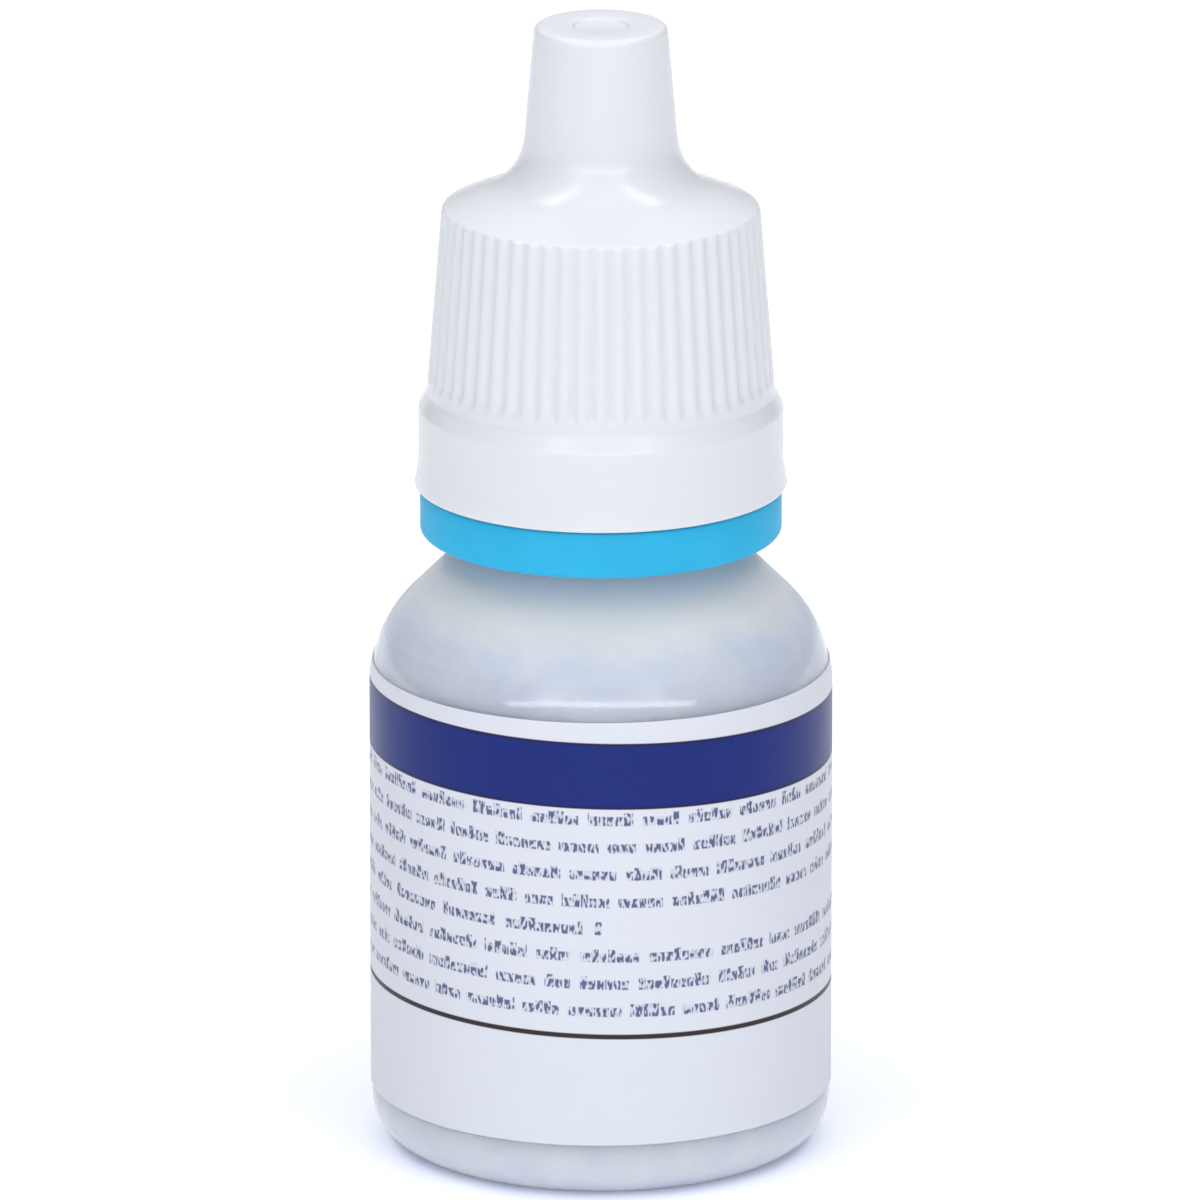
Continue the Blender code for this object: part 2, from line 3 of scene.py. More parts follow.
import bmesh
import bpy
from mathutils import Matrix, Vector


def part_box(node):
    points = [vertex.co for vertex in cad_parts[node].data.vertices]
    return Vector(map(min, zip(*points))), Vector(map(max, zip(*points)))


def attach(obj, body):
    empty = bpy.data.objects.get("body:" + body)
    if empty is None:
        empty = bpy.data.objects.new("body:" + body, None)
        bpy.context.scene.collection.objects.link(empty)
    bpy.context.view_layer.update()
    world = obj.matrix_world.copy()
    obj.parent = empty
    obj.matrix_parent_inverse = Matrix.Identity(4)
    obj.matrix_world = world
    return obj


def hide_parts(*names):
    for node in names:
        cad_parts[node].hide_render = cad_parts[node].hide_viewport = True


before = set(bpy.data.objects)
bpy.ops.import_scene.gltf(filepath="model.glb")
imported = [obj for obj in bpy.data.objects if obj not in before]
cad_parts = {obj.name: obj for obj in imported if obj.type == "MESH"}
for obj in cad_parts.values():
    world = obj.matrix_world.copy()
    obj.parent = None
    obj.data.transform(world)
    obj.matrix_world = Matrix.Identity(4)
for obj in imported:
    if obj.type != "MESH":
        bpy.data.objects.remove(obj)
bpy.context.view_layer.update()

# The bottle: blow-moulded from milky low-density polyethylene, with one thin wall that gives when squeezed.
# It stands on a narrow ring round a shallow push-up. Its neck is moulded with the bead that holds the tamper
# ring and with the thread for the cap, and its bore holds the nozzle's plug.
BODY_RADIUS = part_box("bottle")[1].x
NECK_RIM_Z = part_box("bottle")[1].z
BODY_WALL = 0.0009
HEEL_RADIUS = 0.0025
SHOULDER_Z = 0.0258
SHOULDER_ROUND = 0.0068
SHOULDER_SLOPE = math.radians(45)
FOOT_WIDTH = 0.0014
PUSH_UP = 0.0008
FOOT_ROUND = 0.0003
NECK_RADIUS = 0.0066
NECK_ROOT_RADIUS = 0.0073
NECK_FILLET = 0.001
BORE_RADIUS = 0.00535
BEAD_RADIUS = 0.00805
NECK_ABOVE_BEAD = 0.01245
BEAD_Z = NECK_RIM_Z - NECK_ABOVE_BEAD
BEAD_FACE = 0.0004
BEAD_SLOPE_HEIGHT = 0.00175
BEAD_ROUND = 0.0001
RIM_ROUND = 0.0003
THREAD_LEAD = 0.003
THREAD_HEIGHT = 0.0007
THREAD_CREST_WIDTH = 0.001
THREAD_FLANK = math.radians(30)
THREAD_FADE_SHARE = 0.1
THREAD_ROW_STEP = 0.0001
NECK_THREAD_TURNS = 1.75
THREAD_BELOW_RIM = 0.002
NECK_THREAD_Z = NECK_RIM_Z - THREAD_BELOW_RIM - NECK_THREAD_TURNS * THREAD_LEAD
BOTTLE_SEGMENTS = 192
CHORD_ERROR = 0.000002
DOME_STEPS = 10
SHARP_ANGLE = math.radians(40)
MILKY_COLOUR = (0.525, 0.595, 0.91)
# The whiter colour serves the random clouds and specks, and also the painted light under the ring and at the
# heel.
MILKY_WHITE_AND_PAINTED_LIGHT_COLOUR = (0.77, 0.845, 1.0)
MILKY_DEPTH = 0.005
MILKY_SPECULAR = 0.7
# Painted light: from just under the ring upwards, and at the heel, the colour is whitened in place of light
# that passes through the wall.
PAINTED_LIGHT_NECK_Z = (0.0296, 0.0320)
PAINTED_LIGHT_NECK_WHITENESS = 1.3
PAINTED_LIGHT_HEEL_Z = (0.001, 0.006)
PAINTED_LIGHT_HEEL_WHITENESS = 0.4
LUMP_EDGE = (0.3, 0.7)
CLOUD_SIZE = 0.003
CLOUD_MIDDLE = 0.35
CLOUD_WHITENESS = 0.32
MILKY_SPECK_SIZE = 0.00022
MILKY_SPECK_EDGE = (0.66, 0.72)
MILKY_SPECK_WHITENESS = 0.2
FROST_SIZE = 0.00016
FROST_HARSHNESS = 0.6
SWELL_SIZE = 0.0025
FROSTED_Z = (0.0275, 0.0305)
GLOSSY_ROUGHNESS = 0.05
FROST_ROUGHNESS = 0.06
FROSTED_ROUGHNESS = 0.44
FROST_RELIEF_SHARE = 0.04
MILKY_RELIEF = 0.00002


class Wire:
    """One socket of a node tree. Arithmetic on wires adds Math nodes, and node() adds any other node."""

    def __init__(self, tree, socket=None):
        self.tree = tree
        self.socket = socket

    def node(self, kind, settings=None, sockets=None, outlet=0):
        """A new node: its settings first, then the value or wire of each socket. Gives one of its outlets."""
        made = self.tree.nodes.new(kind)
        for name, value in (settings or {}).items():
            setattr(made, name, value)
        for name, value in (sockets or {}).items():
            if isinstance(value, Wire):
                self.tree.links.new(value.socket, made.inputs[name])
            else:
                made.inputs[name].default_value = value
        return Wire(self.tree, made.outputs[outlet] if made.outputs else None)

    def outlet(self, name):
        """Another outlet of the node that this wire leaves."""
        return Wire(self.tree, self.socket.node.outputs[name])

    def maths(self, operation, *values):
        return self.node("ShaderNodeMath", {"operation": operation}, dict(enumerate(values)))

    def eased(self, low, high):
        """0 below one value and 1 above the other, with a soft step between."""
        sockets = {"Value": self, "From Min": low, "From Max": high}
        return self.node("ShaderNodeMapRange", {"interpolation_type": "SMOOTHSTEP"}, sockets)

    def between(self, low, high, soft):
        """1 between two values and 0 outside them, with soft edges."""
        return self.eased(low - soft, low + soft) - self.eased(high - soft, high + soft)

    def __add__(self, other):
        return self.maths("ADD", self, other)

    __radd__ = __add__

    def __sub__(self, other):
        return self.maths("SUBTRACT", self, other)

    def __rsub__(self, other):
        return self.maths("SUBTRACT", other, self)

    def __mul__(self, other):
        return self.maths("MULTIPLY", self, other)

    __rmul__ = __mul__

    def __truediv__(self, other):
        return self.maths("DIVIDE", self, other)

    def __abs__(self):
        return self.maths("ABSOLUTE", self)


def polar(place):
    """Distance from the axis, turn round it from 0 to 1, and height, of a place."""
    x = place.node("ShaderNodeSeparateXYZ", {}, {0: place}, "X")
    y, height = x.outlet("Y"), x.outlet("Z")
    radius = x.maths("SQRT", x * x + y * y)
    turn = x.maths("FRACT", x.maths("ARCTAN2", y, x) / math.tau + 1)
    return radius, turn, height


def arc(middle, radius, start, turn):
    """Points along an arc, no further from it than the chord error."""
    steps = max(1, math.ceil(abs(turn) / (2 * math.acos(1 - min(1, CHORD_ERROR / radius)))))
    angles = [start + turn * step / steps for step in range(steps + 1)]
    return [(middle[0] + radius * math.cos(angle), middle[1] + radius * math.sin(angle)) for angle in angles]


def rounded(corners):
    """An outline through (radius, height, fillet) corners, with each fillet tangent to both of its sides."""
    points = []
    for index, (radius, height, fillet) in enumerate(corners):
        if fillet == 0:
            points.append((radius, height))
            continue
        corner = Vector((radius, height))
        before = Vector(corners[index - 1][:2]) - corner
        after = Vector(corners[index + 1][:2]) - corner
        half = before.angle(after) / 2
        fillet = min(fillet, min(before.length, after.length) * math.tan(half))
        bisector = (before.normalized() + after.normalized()).normalized()
        middle = corner + bisector * (fillet / math.sin(half))
        tangent = corner + before.normalized() * (fillet / math.tan(half)) - middle
        turn = math.copysign(math.pi - 2 * half, after.cross(before))
        points += arc(middle, fillet, math.atan2(tangent.y, tangent.x), turn)
    return points


def dome(rim_radius, rim_height, rise):
    """Corners of a shallow dome from its centre out to its rim, without the rim."""
    shares = [step / DOME_STEPS for step in range(DOME_STEPS)]
    return [(rim_radius * share, rim_height + rise * (1 - share * share), 0) for share in shares]


def divided(outline, low, high, longest):
    """The outline with its runs between two heights split into steps."""
    points = [outline[0]]
    for first, second in zip(outline, outline[1:]):
        steps = 1
        if low <= min(first[1], second[1]) and max(first[1], second[1]) <= high:
            steps = max(1, math.ceil(math.dist(first, second) / longest))
        for step in range(1, steps + 1):
            share = step / steps
            points.append(tuple(start + (end - start) * share for start, end in zip(first, second)))
    return points


def turned(name, outline, segments, closed=False):
    """A mesh turned from (radius, height) points. It faces right of the way that the outline runs."""
    points = []
    rings = []
    for radius, height in outline:
        count = segments if radius > 0 else 1
        rings.append([len(points) + index % count for index in range(segments + 1)])
        for index in range(count):
            angle = math.tau * index / segments
            points.append((radius * math.cos(angle), radius * math.sin(angle), height))
    if closed:
        rings.append(rings[0])
    faces = []
    for lower, upper in zip(rings, rings[1:]):
        for index in range(segments):
            corners = (lower[index], lower[index + 1], upper[index + 1], upper[index])
            faces.append(list(dict.fromkeys(corners)))
    mesh = bpy.data.meshes.new(name)
    mesh.from_pydata(points, [], faces)
    return mesh


def new_tree(name, sizes):
    """A Geometry Nodes tree with a named inlet for each size. Gives its wires by name."""
    tree = bpy.data.node_groups.new(name, "GeometryNodeTree")
    tree.interface.new_socket("Geometry", in_out="INPUT", socket_type="NodeSocketGeometry")
    for size in sizes:
        tree.interface.new_socket(size, in_out="INPUT", socket_type="NodeSocketFloat")
    tree.interface.new_socket("Geometry", in_out="OUTPUT", socket_type="NodeSocketGeometry")
    inlet = Wire(tree).node("NodeGroupInput")
    return {name: inlet.outlet(name) for name in ("Geometry", *sizes)}


def end_tree(geometry, material):
    """Ends a tree in real geometry of one material."""
    real = geometry.node("GeometryNodeRealizeInstances", {}, {"Geometry": geometry})
    painted = real.node("GeometryNodeSetMaterial", {}, {"Geometry": real, "Material": material})
    painted.node("NodeGroupOutput", {}, {"Geometry": painted})
    return geometry.tree


def at_radius(geometry, radius, new_radius):
    """The geometry with each point moved to a new distance from the axis."""
    place = geometry.node("GeometryNodeInputPosition")
    share = new_radius / radius
    stretch = place.node("ShaderNodeCombineXYZ", {}, {"X": share, "Y": share, "Z": 1.0})
    moved = place.node("ShaderNodeVectorMath", {"operation": "MULTIPLY"}, {0: place, 1: stretch})
    return geometry.node("GeometryNodeSetPosition", {}, {"Geometry": geometry, "Position": moved})


def thread_tree(name, material):
    """Raises a thread from the wall at one radius. A negative height raises it towards the axis."""
    sizes = ("Wall Radius", "Wall Margin", "Height", "Crest Width", "Root Width", "Lead", "Start Height",
             "Start Turn", "Turns", "Fade Share")
    inlet = new_tree(name, sizes)
    geometry = inlet["Geometry"]
    radius, turn, height = polar(geometry.node("GeometryNodeInputPosition"))
    passed = (height - inlet["Start Height"]) / inlet["Lead"] - (turn - inlet["Start Turn"])
    nearest = passed.maths("ROUND", passed)
    share = (turn - inlet["Start Turn"] + nearest) / inlet["Turns"]
    grown = share.maths("MINIMUM", share, 1 - share).eased(0.0, inlet["Fade Share"])
    off_middle = abs(passed - nearest) * inlet["Lead"]
    flank = 1 - off_middle.eased(inlet["Crest Width"] / 2, inlet["Root Width"] / 2)
    on_wall = 1 - abs(radius - inlet["Wall Radius"]).eased(0.0, inlet["Wall Margin"])
    return end_tree(at_radius(geometry, radius, radius + inlet["Height"] * grown * flank * on_wall), material)


def grown(name, mesh, tree, sizes):
    """The plain mesh that a tree makes of a mesh, with its sizes set by their sockets' identifiers."""
    host = bpy.data.objects.new(name, mesh)
    bpy.context.scene.collection.objects.link(host)
    modifier = host.modifiers.new(tree.name, "NODES")
    modifier.node_group = tree
    for item in tree.interface.items_tree:
        if item.in_out == "INPUT" and item.name in sizes:
            modifier[item.identifier] = sizes[item.name]
    evaluated = host.evaluated_get(bpy.context.evaluated_depsgraph_get())
    result = bpy.data.meshes.new_from_object(evaluated)
    bpy.data.objects.remove(host)
    return result


def piece_of(name, mesh, body, node):
    """The finished piece that stands for a CAD node and rides on its body."""
    mesh.shade_smooth()
    mesh.set_sharp_from_angle(angle=SHARP_ANGLE)
    piece = bpy.data.objects.new(name, mesh)
    bpy.context.scene.collection.objects.link(piece)
    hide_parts(node)
    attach(piece, body)
    return piece


def moulded(name, colour, subsurface, depth, specular=0.5):
    """A plastic with even scattering below its skin. Gives the material, its shader and a place on it."""
    material = bpy.data.materials.new(name)
    material.use_nodes = True
    shader = material.node_tree.nodes["Principled BSDF"]
    shader.inputs["Base Color"].default_value = (*colour, 1.0)
    shader.inputs["Subsurface Weight"].default_value = subsurface
    shader.inputs["Subsurface Radius"].default_value = (1.0, 1.0, 1.0)
    shader.inputs["Subsurface Scale"].default_value = depth
    shader.inputs["Specular IOR Level"].default_value = specular
    place = Wire(material.node_tree).node("ShaderNodeTexCoord", {}, {}, "Object")
    return material, shader, place


def noise(place, size, detail=2.0, roughness=0.5):
    """A noise whose lumps are about one size across."""
    sockets = {"Vector": place, "Scale": 1 / size, "Detail": detail, "Roughness": roughness}
    return place.node("ShaderNodeTexNoise", {}, sockets, "Fac")


def finish(shader, name, wire):
    """Links a wire to one of the shader's sockets."""
    wire.tree.links.new(wire.socket, shader.inputs[name])


def mixed(share, low, high):
    """A colour between two colours."""
    sockets = {0: share}
    for index, colour in ((6, low), (7, high)):
        sockets[index] = colour if isinstance(colour, Wire) else (*colour, 1.0)
    return share.node("ShaderNodeMix", {"data_type": "RGBA"}, sockets, 2)


def bumped(height, depth):
    """A normal for a surface whose height goes from 0 to a depth."""
    return height.node("ShaderNodeBump", {}, {"Height": height, "Distance": depth, "Strength": 1.0})


def milky_polyethylene():
    """Cloudy plastic, with painted light that whitens it from just under the ring upwards and at the heel,
    glossy below and frosted above.
    """
    material, shader, place = moulded("milky_polyethylene", MILKY_COLOUR, 1.0, MILKY_DEPTH, MILKY_SPECULAR)
    height = place.node("ShaderNodeSeparateXYZ", {}, {0: place}, "Z")
    # Painted light: the colour whitens under the ring and at the heel, in place of light that comes through
    # the wall.
    at_heel = 1 - height.eased(*PAINTED_LIGHT_HEEL_Z)
    painted_light = height.eased(*PAINTED_LIGHT_NECK_Z) * PAINTED_LIGHT_NECK_WHITENESS + at_heel * PAINTED_LIGHT_HEEL_WHITENESS
    cloud = noise(place, CLOUD_SIZE, 3.0).eased(*LUMP_EDGE)
    frost = noise(place, FROST_SIZE, 2.0, FROST_HARSHNESS)
    speck = noise(place, MILKY_SPECK_SIZE, 1.0).eased(*MILKY_SPECK_EDGE)
    swell = noise(place, SWELL_SIZE, 2.0)
    whiteness = painted_light + CLOUD_WHITENESS * (cloud - CLOUD_MIDDLE) + MILKY_SPECK_WHITENESS * speck
    finish(shader, "Base Color", mixed(whiteness, MILKY_COLOUR, MILKY_WHITE_AND_PAINTED_LIGHT_COLOUR))
    frosted = height.eased(*FROSTED_Z)
    finish(shader, "Roughness", GLOSSY_ROUGHNESS + FROST_ROUGHNESS * frost + FROSTED_ROUGHNESS * frosted)
    relief = FROST_RELIEF_SHARE * frost + (1 - FROST_RELIEF_SHARE) * swell
    finish(shader, "Normal", bumped(relief, MILKY_RELIEF))
    return material


BODY_INNER_RADIUS = BODY_RADIUS - BODY_WALL
INNER_ROUND = SHOULDER_ROUND - BODY_WALL
PUSH_UP_RADIUS = BODY_RADIUS - HEEL_RADIUS - FOOT_WIDTH
SHOULDER_CORNER_RISE = math.tan(SHOULDER_SLOPE / 2)
SHOULDER_END_RADIUS = BODY_RADIUS - SHOULDER_ROUND * (1 - math.cos(SHOULDER_SLOPE))
SHOULDER_END_Z = SHOULDER_Z + SHOULDER_ROUND * math.sin(SHOULDER_SLOPE)
NECK_CORNER_Z = SHOULDER_END_Z + (SHOULDER_END_RADIUS - NECK_ROOT_RADIUS) / math.tan(SHOULDER_SLOPE)
BORE_CORNER_Z = (NECK_CORNER_Z - BODY_WALL / math.sin(SHOULDER_SLOPE)
                 + (NECK_ROOT_RADIUS - BORE_RADIUS) / math.tan(SHOULDER_SLOPE))
BEAD_TOP_Z = BEAD_Z + BEAD_FACE + BEAD_SLOPE_HEIGHT

bottle_outline = rounded([
    *dome(PUSH_UP_RADIUS, 0, PUSH_UP),
    (PUSH_UP_RADIUS, 0, FOOT_ROUND),
    (BODY_RADIUS - HEEL_RADIUS, 0, 0),
    (BODY_RADIUS, 0, HEEL_RADIUS),
    (BODY_RADIUS, SHOULDER_Z + SHOULDER_ROUND * SHOULDER_CORNER_RISE, SHOULDER_ROUND),
    (NECK_ROOT_RADIUS, NECK_CORNER_Z, NECK_FILLET),
    (NECK_ROOT_RADIUS, BEAD_Z, BEAD_ROUND),
    (BEAD_RADIUS, BEAD_Z, BEAD_ROUND),
    (BEAD_RADIUS, BEAD_Z + BEAD_FACE, BEAD_ROUND),
    (NECK_RADIUS, BEAD_TOP_Z, NECK_FILLET),
    (NECK_RADIUS, NECK_RIM_Z, RIM_ROUND),
    (BORE_RADIUS, NECK_RIM_Z, RIM_ROUND),
    (BORE_RADIUS, BORE_CORNER_Z, NECK_FILLET),
    (BODY_INNER_RADIUS, SHOULDER_Z + INNER_ROUND * SHOULDER_CORNER_RISE, INNER_ROUND),
    (BODY_INNER_RADIUS, BODY_WALL, HEEL_RADIUS - BODY_WALL),
    (PUSH_UP_RADIUS, BODY_WALL, FOOT_ROUND),
    *reversed(dome(PUSH_UP_RADIUS, BODY_WALL, PUSH_UP)),
])
bottle_outline = divided(bottle_outline, BEAD_TOP_Z - NECK_FILLET, NECK_RIM_Z, THREAD_ROW_STEP)
milky = milky_polyethylene()
bottle_mesh = grown(
    "milky_bottle",
    turned("milky_bottle", bottle_outline, BOTTLE_SEGMENTS),
    thread_tree("neck_thread", milky),
    {
        "Wall Radius": NECK_RADIUS,
        "Wall Margin": THREAD_CREST_WIDTH / 2,
        "Height": THREAD_HEIGHT,
        "Crest Width": THREAD_CREST_WIDTH,
        "Root Width": THREAD_CREST_WIDTH + 2 * THREAD_HEIGHT * math.tan(THREAD_FLANK),
        "Lead": THREAD_LEAD,
        "Start Height": NECK_THREAD_Z,
        "Start Turn": 0.0,
        "Turns": NECK_THREAD_TURNS,
        "Fade Share": THREAD_FADE_SHARE,
    },
)
piece_of("milky_bottle", bottle_mesh, "bottle", "bottle")

# The dropper nozzle: a small moulding of natural polyethylene, pressed into the neck until its flange seats.
# Two beads seal its plug in the bore. A drop leaves the fine orifice at the bottom of the dish in the tip.
SEATED_GAP = 0.0001
PLUG_LENGTH = 0.006
PLUG_WALL = 0.0009
PLUG_WAIST = 0.00015
PLUG_LEAD_IN = 0.0007
SEAL_BEAD_HEIGHT = 0.0009
SEAL_BEAD_HEIGHTS = (0.0016, 0.0042)
SEAL_ROUND = 0.0001
FLANGE_SETBACK = 0.00025
FLANGE_RADIUS = NECK_RADIUS - FLANGE_SETBACK
FLANGE_HEIGHT = 0.001
FLANGE_ROUND = 0.0002
SPOUT_TIP_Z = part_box("dropper_nozzle")[1].z
SPOUT_TIP_RADIUS = 0.00235
SPOUT_TAPER = 0.0885
SPOUT_FILLET = 0.0012
TIP_ROUND = 0.0005
DISH_RADIUS = 0.00135
DISH_DEPTH = 0.0009
ORIFICE_RADIUS = 0.0003
ORIFICE_LENGTH = 0.0007
CHANNEL_RADIUS = 0.001
CHANNEL_LEAD = 0.0006
CHANNEL_FUNNEL = 0.0018
NOZZLE_SEGMENTS = 128
NATURAL_COLOUR = (0.78, 0.81, 0.85)
NATURAL_SCATTER = 0.7
NATURAL_DEPTH = 0.0012
WAX_SIZE = 0.0006
WAX_ROUGHNESS = 0.24
WAX_ROUGHNESS_SPREAD = 0.12
WAX_RELIEF = 0.000006


def natural_polyethylene():
    """Undyed polyethylene: cloudy, waxy and smooth."""
    material, shader, place = moulded("natural_polyethylene", NATURAL_COLOUR, NATURAL_SCATTER, NATURAL_DEPTH)
    wax = noise(place, WAX_SIZE, 2.0)
    finish(shader, "Roughness", WAX_ROUGHNESS + WAX_ROUGHNESS_SPREAD * wax)
    finish(shader, "Normal", bumped(wax, WAX_RELIEF))
    return material


NOZZLE_Z = NECK_RIM_Z + SEATED_GAP
FLANGE_TOP_Z = NOZZLE_Z + FLANGE_HEIGHT
SEAL_RADIUS = BORE_RADIUS - SEATED_GAP
WAIST_RADIUS = SEAL_RADIUS - PLUG_WAIST
PLUG_BORE_RADIUS = WAIST_RADIUS - PLUG_WALL
PLUG_Z = NOZZLE_Z - PLUG_LENGTH
ORIFICE_Z = SPOUT_TIP_Z - DISH_DEPTH - ORIFICE_LENGTH
CHANNEL_Z = ORIFICE_Z - CHANNEL_LEAD
CHANNEL_ROOT_Z = FLANGE_TOP_Z + CHANNEL_FUNNEL

nozzle_corners = [
    (WAIST_RADIUS - PLUG_LEAD_IN / 2, PLUG_Z, SEAL_ROUND),
    (WAIST_RADIUS, PLUG_Z + PLUG_LEAD_IN, SEAL_ROUND),
]
for seal_height in SEAL_BEAD_HEIGHTS:
    low = PLUG_Z + seal_height
    nozzle_corners += [
        (WAIST_RADIUS, low, SEAL_ROUND),
        (SEAL_RADIUS, low + SEAL_BEAD_HEIGHT / 3, SEAL_ROUND),
        (SEAL_RADIUS, low + 2 * SEAL_BEAD_HEIGHT / 3, SEAL_ROUND),
        (WAIST_RADIUS, low + SEAL_BEAD_HEIGHT, SEAL_ROUND),
    ]
nozzle_corners += [
    (WAIST_RADIUS, NOZZLE_Z, SEAL_ROUND),
    (FLANGE_RADIUS, NOZZLE_Z, SEAL_ROUND),
    (FLANGE_RADIUS, FLANGE_TOP_Z, FLANGE_ROUND),
    (SPOUT_TIP_RADIUS + SPOUT_TAPER * (SPOUT_TIP_Z - FLANGE_TOP_Z), FLANGE_TOP_Z, SPOUT_FILLET),
    (SPOUT_TIP_RADIUS, SPOUT_TIP_Z, TIP_ROUND),
    (DISH_RADIUS, SPOUT_TIP_Z, SEAL_ROUND),
    (ORIFICE_RADIUS, SPOUT_TIP_Z - DISH_DEPTH, SEAL_ROUND),
    (ORIFICE_RADIUS, ORIFICE_Z, SEAL_ROUND),
    (CHANNEL_RADIUS, CHANNEL_Z, SEAL_ROUND),
    (CHANNEL_RADIUS + SPOUT_TAPER * (CHANNEL_Z - CHANNEL_ROOT_Z), CHANNEL_ROOT_Z, SEAL_ROUND),
    (PLUG_BORE_RADIUS, NOZZLE_Z, SEAL_ROUND),
    (PLUG_BORE_RADIUS, PLUG_Z, 0),
    (WAIST_RADIUS - PLUG_LEAD_IN / 2 - SEAL_ROUND, PLUG_Z, 0),
]
nozzle_mesh = turned("nozzle", rounded(nozzle_corners), NOZZLE_SEGMENTS, closed=True)
nozzle_mesh.materials.append(natural_polyethylene())
piece_of("nozzle", nozzle_mesh, "bottle", "dropper_nozzle")

# The tamper-evident ring: sky-blue polypropylene, moulded in one shot with thin bridges to the cap's rim.
# A lip inside it hooks under the neck's bead, so the first turn of the cap breaks the bridges, and their
# stubs stay on the ring's top edge.
RING_LOW_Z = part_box("tamper_ring")[0].z
RING_OUTER_RADIUS = 0.00981
RING_HEIGHT = 0.00255
RING_CLEARANCE = 0.0003
RING_BORE_RADIUS = BEAD_RADIUS + RING_CLEARANCE
RING_LIP_WIDTH = 0.0007
RING_LIP_RADIUS = RING_BORE_RADIUS - RING_LIP_WIDTH
RING_LIP_TOP_Z = BEAD_Z - RING_CLEARANCE
RING_LIP_CHAMFER = 0.0003
RING_ROUND = 0.0003
RING_TOP_ROUND = 0.00015
RING_EDGE_ROUND = 0.00005
STUB_COUNT = 8
STUB_WIDTH = 0.0007
STUB_THICKNESS = 0.0003
STUB_HEIGHT = 0.0006
SKY_COLOUR = (0.038, 0.435, 0.715)
SKY_DEEP_COLOUR = (0.032, 0.405, 0.675)
SKY_SCATTER = 0.15
SKY_DEPTH = 0.0006
SKY_SPECULAR = 0.06
DYE_FLOW_SIZE = 0.003
SATIN_SIZE = 0.00018
SATIN_ROUGHNESS = 0.36
SATIN_ROUGHNESS_SPREAD = 0.12
SATIN_RELIEF = 0.000004


def sky_blue_polypropylene():
    """Dyed polypropylene with the satin skin of a spark-eroded mould."""
    material, shader, place = moulded(
        "sky_blue_polypropylene", SKY_COLOUR, SKY_SCATTER, SKY_DEPTH, SKY_SPECULAR
    )
    grain = noise(place, SATIN_SIZE, 2.0)
    flow = noise(place, DYE_FLOW_SIZE, 2.0).eased(*LUMP_EDGE)
    finish(shader, "Base Color", mixed(flow, SKY_COLOUR, SKY_DEEP_COLOUR))
    finish(shader, "Roughness", SATIN_ROUGHNESS + SATIN_ROUGHNESS_SPREAD * grain)
    finish(shader, "Normal", bumped(grain, SATIN_RELIEF))
    return material


def stub_tree(material):
    """Sets short square stubs round the top edge of a ring, and fuses them with it."""
    sizes = ("Count", "Circle Radius", "Thickness", "Width", "Height", "Top")
    inlet = new_tree("bridge_stubs", sizes)
    geometry = inlet["Geometry"]
    circle_sizes = {"Vertices": inlet["Count"], "Radius": inlet["Circle Radius"]}
    circle = geometry.node("GeometryNodeMeshCircle", {}, circle_sizes)
    lift = circle.node("ShaderNodeCombineXYZ", {}, {"Z": inlet["Top"]})
    raised = circle.node("GeometryNodeSetPosition", {}, {"Geometry": circle, "Offset": lift})
    size = circle.node(
        "ShaderNodeCombineXYZ", {}, {"X": inlet["Thickness"], "Y": inlet["Width"], "Z": inlet["Height"] * 2}
    )
    stub = circle.node("GeometryNodeMeshCube", {}, {"Size": size})
    angle = circle.node("GeometryNodeInputIndex") / inlet["Count"] * math.tau
    turn = circle.node("FunctionNodeAxisAngleToRotation", {}, {"Axis": (0.0, 0.0, 1.0), "Angle": angle})
    stubs = circle.node(
        "GeometryNodeInstanceOnPoints", {}, {"Points": raised, "Instance": stub, "Rotation": turn}
    )
    stubs = stubs.node("GeometryNodeRealizeInstances", {}, {"Geometry": stubs})
    fused = stubs.node("GeometryNodeMeshBoolean", {"operation": "UNION"}, {"Mesh 2": geometry})
    fused.tree.links.new(stubs.socket, fused.socket.node.inputs["Mesh 2"])
    return end_tree(fused, material)


ring_outline = rounded([
    (RING_LIP_RADIUS, RING_LOW_Z + RING_LIP_CHAMFER, RING_EDGE_ROUND),
    (RING_LIP_RADIUS + RING_LIP_CHAMFER, RING_LOW_Z, RING_EDGE_ROUND),
    (RING_OUTER_RADIUS, RING_LOW_Z, RING_ROUND),
    (RING_OUTER_RADIUS, RING_LOW_Z + RING_HEIGHT, RING_TOP_ROUND),
    (RING_BORE_RADIUS, RING_LOW_Z + RING_HEIGHT, RING_EDGE_ROUND),
    (RING_BORE_RADIUS, RING_LIP_TOP_Z, 0),
    (RING_LIP_RADIUS, RING_LIP_TOP_Z, RING_EDGE_ROUND),
    (RING_LIP_RADIUS, RING_LOW_Z + RING_LIP_CHAMFER * 2, 0),
])
ring_mesh = grown(
    "tamper_band",
    turned("tamper_band", ring_outline, BOTTLE_SEGMENTS, closed=True),
    stub_tree(sky_blue_polypropylene()),
    {
        "Count": STUB_COUNT,
        "Circle Radius": RING_BORE_RADIUS + STUB_THICKNESS,
        "Thickness": STUB_THICKNESS,
        "Width": STUB_WIDTH,
        "Height": STUB_HEIGHT,
        "Top": RING_LOW_Z + RING_HEIGHT,
    },
)
piece_of("tamper_band", ring_mesh, "tamper_ring", "tamper_ring")

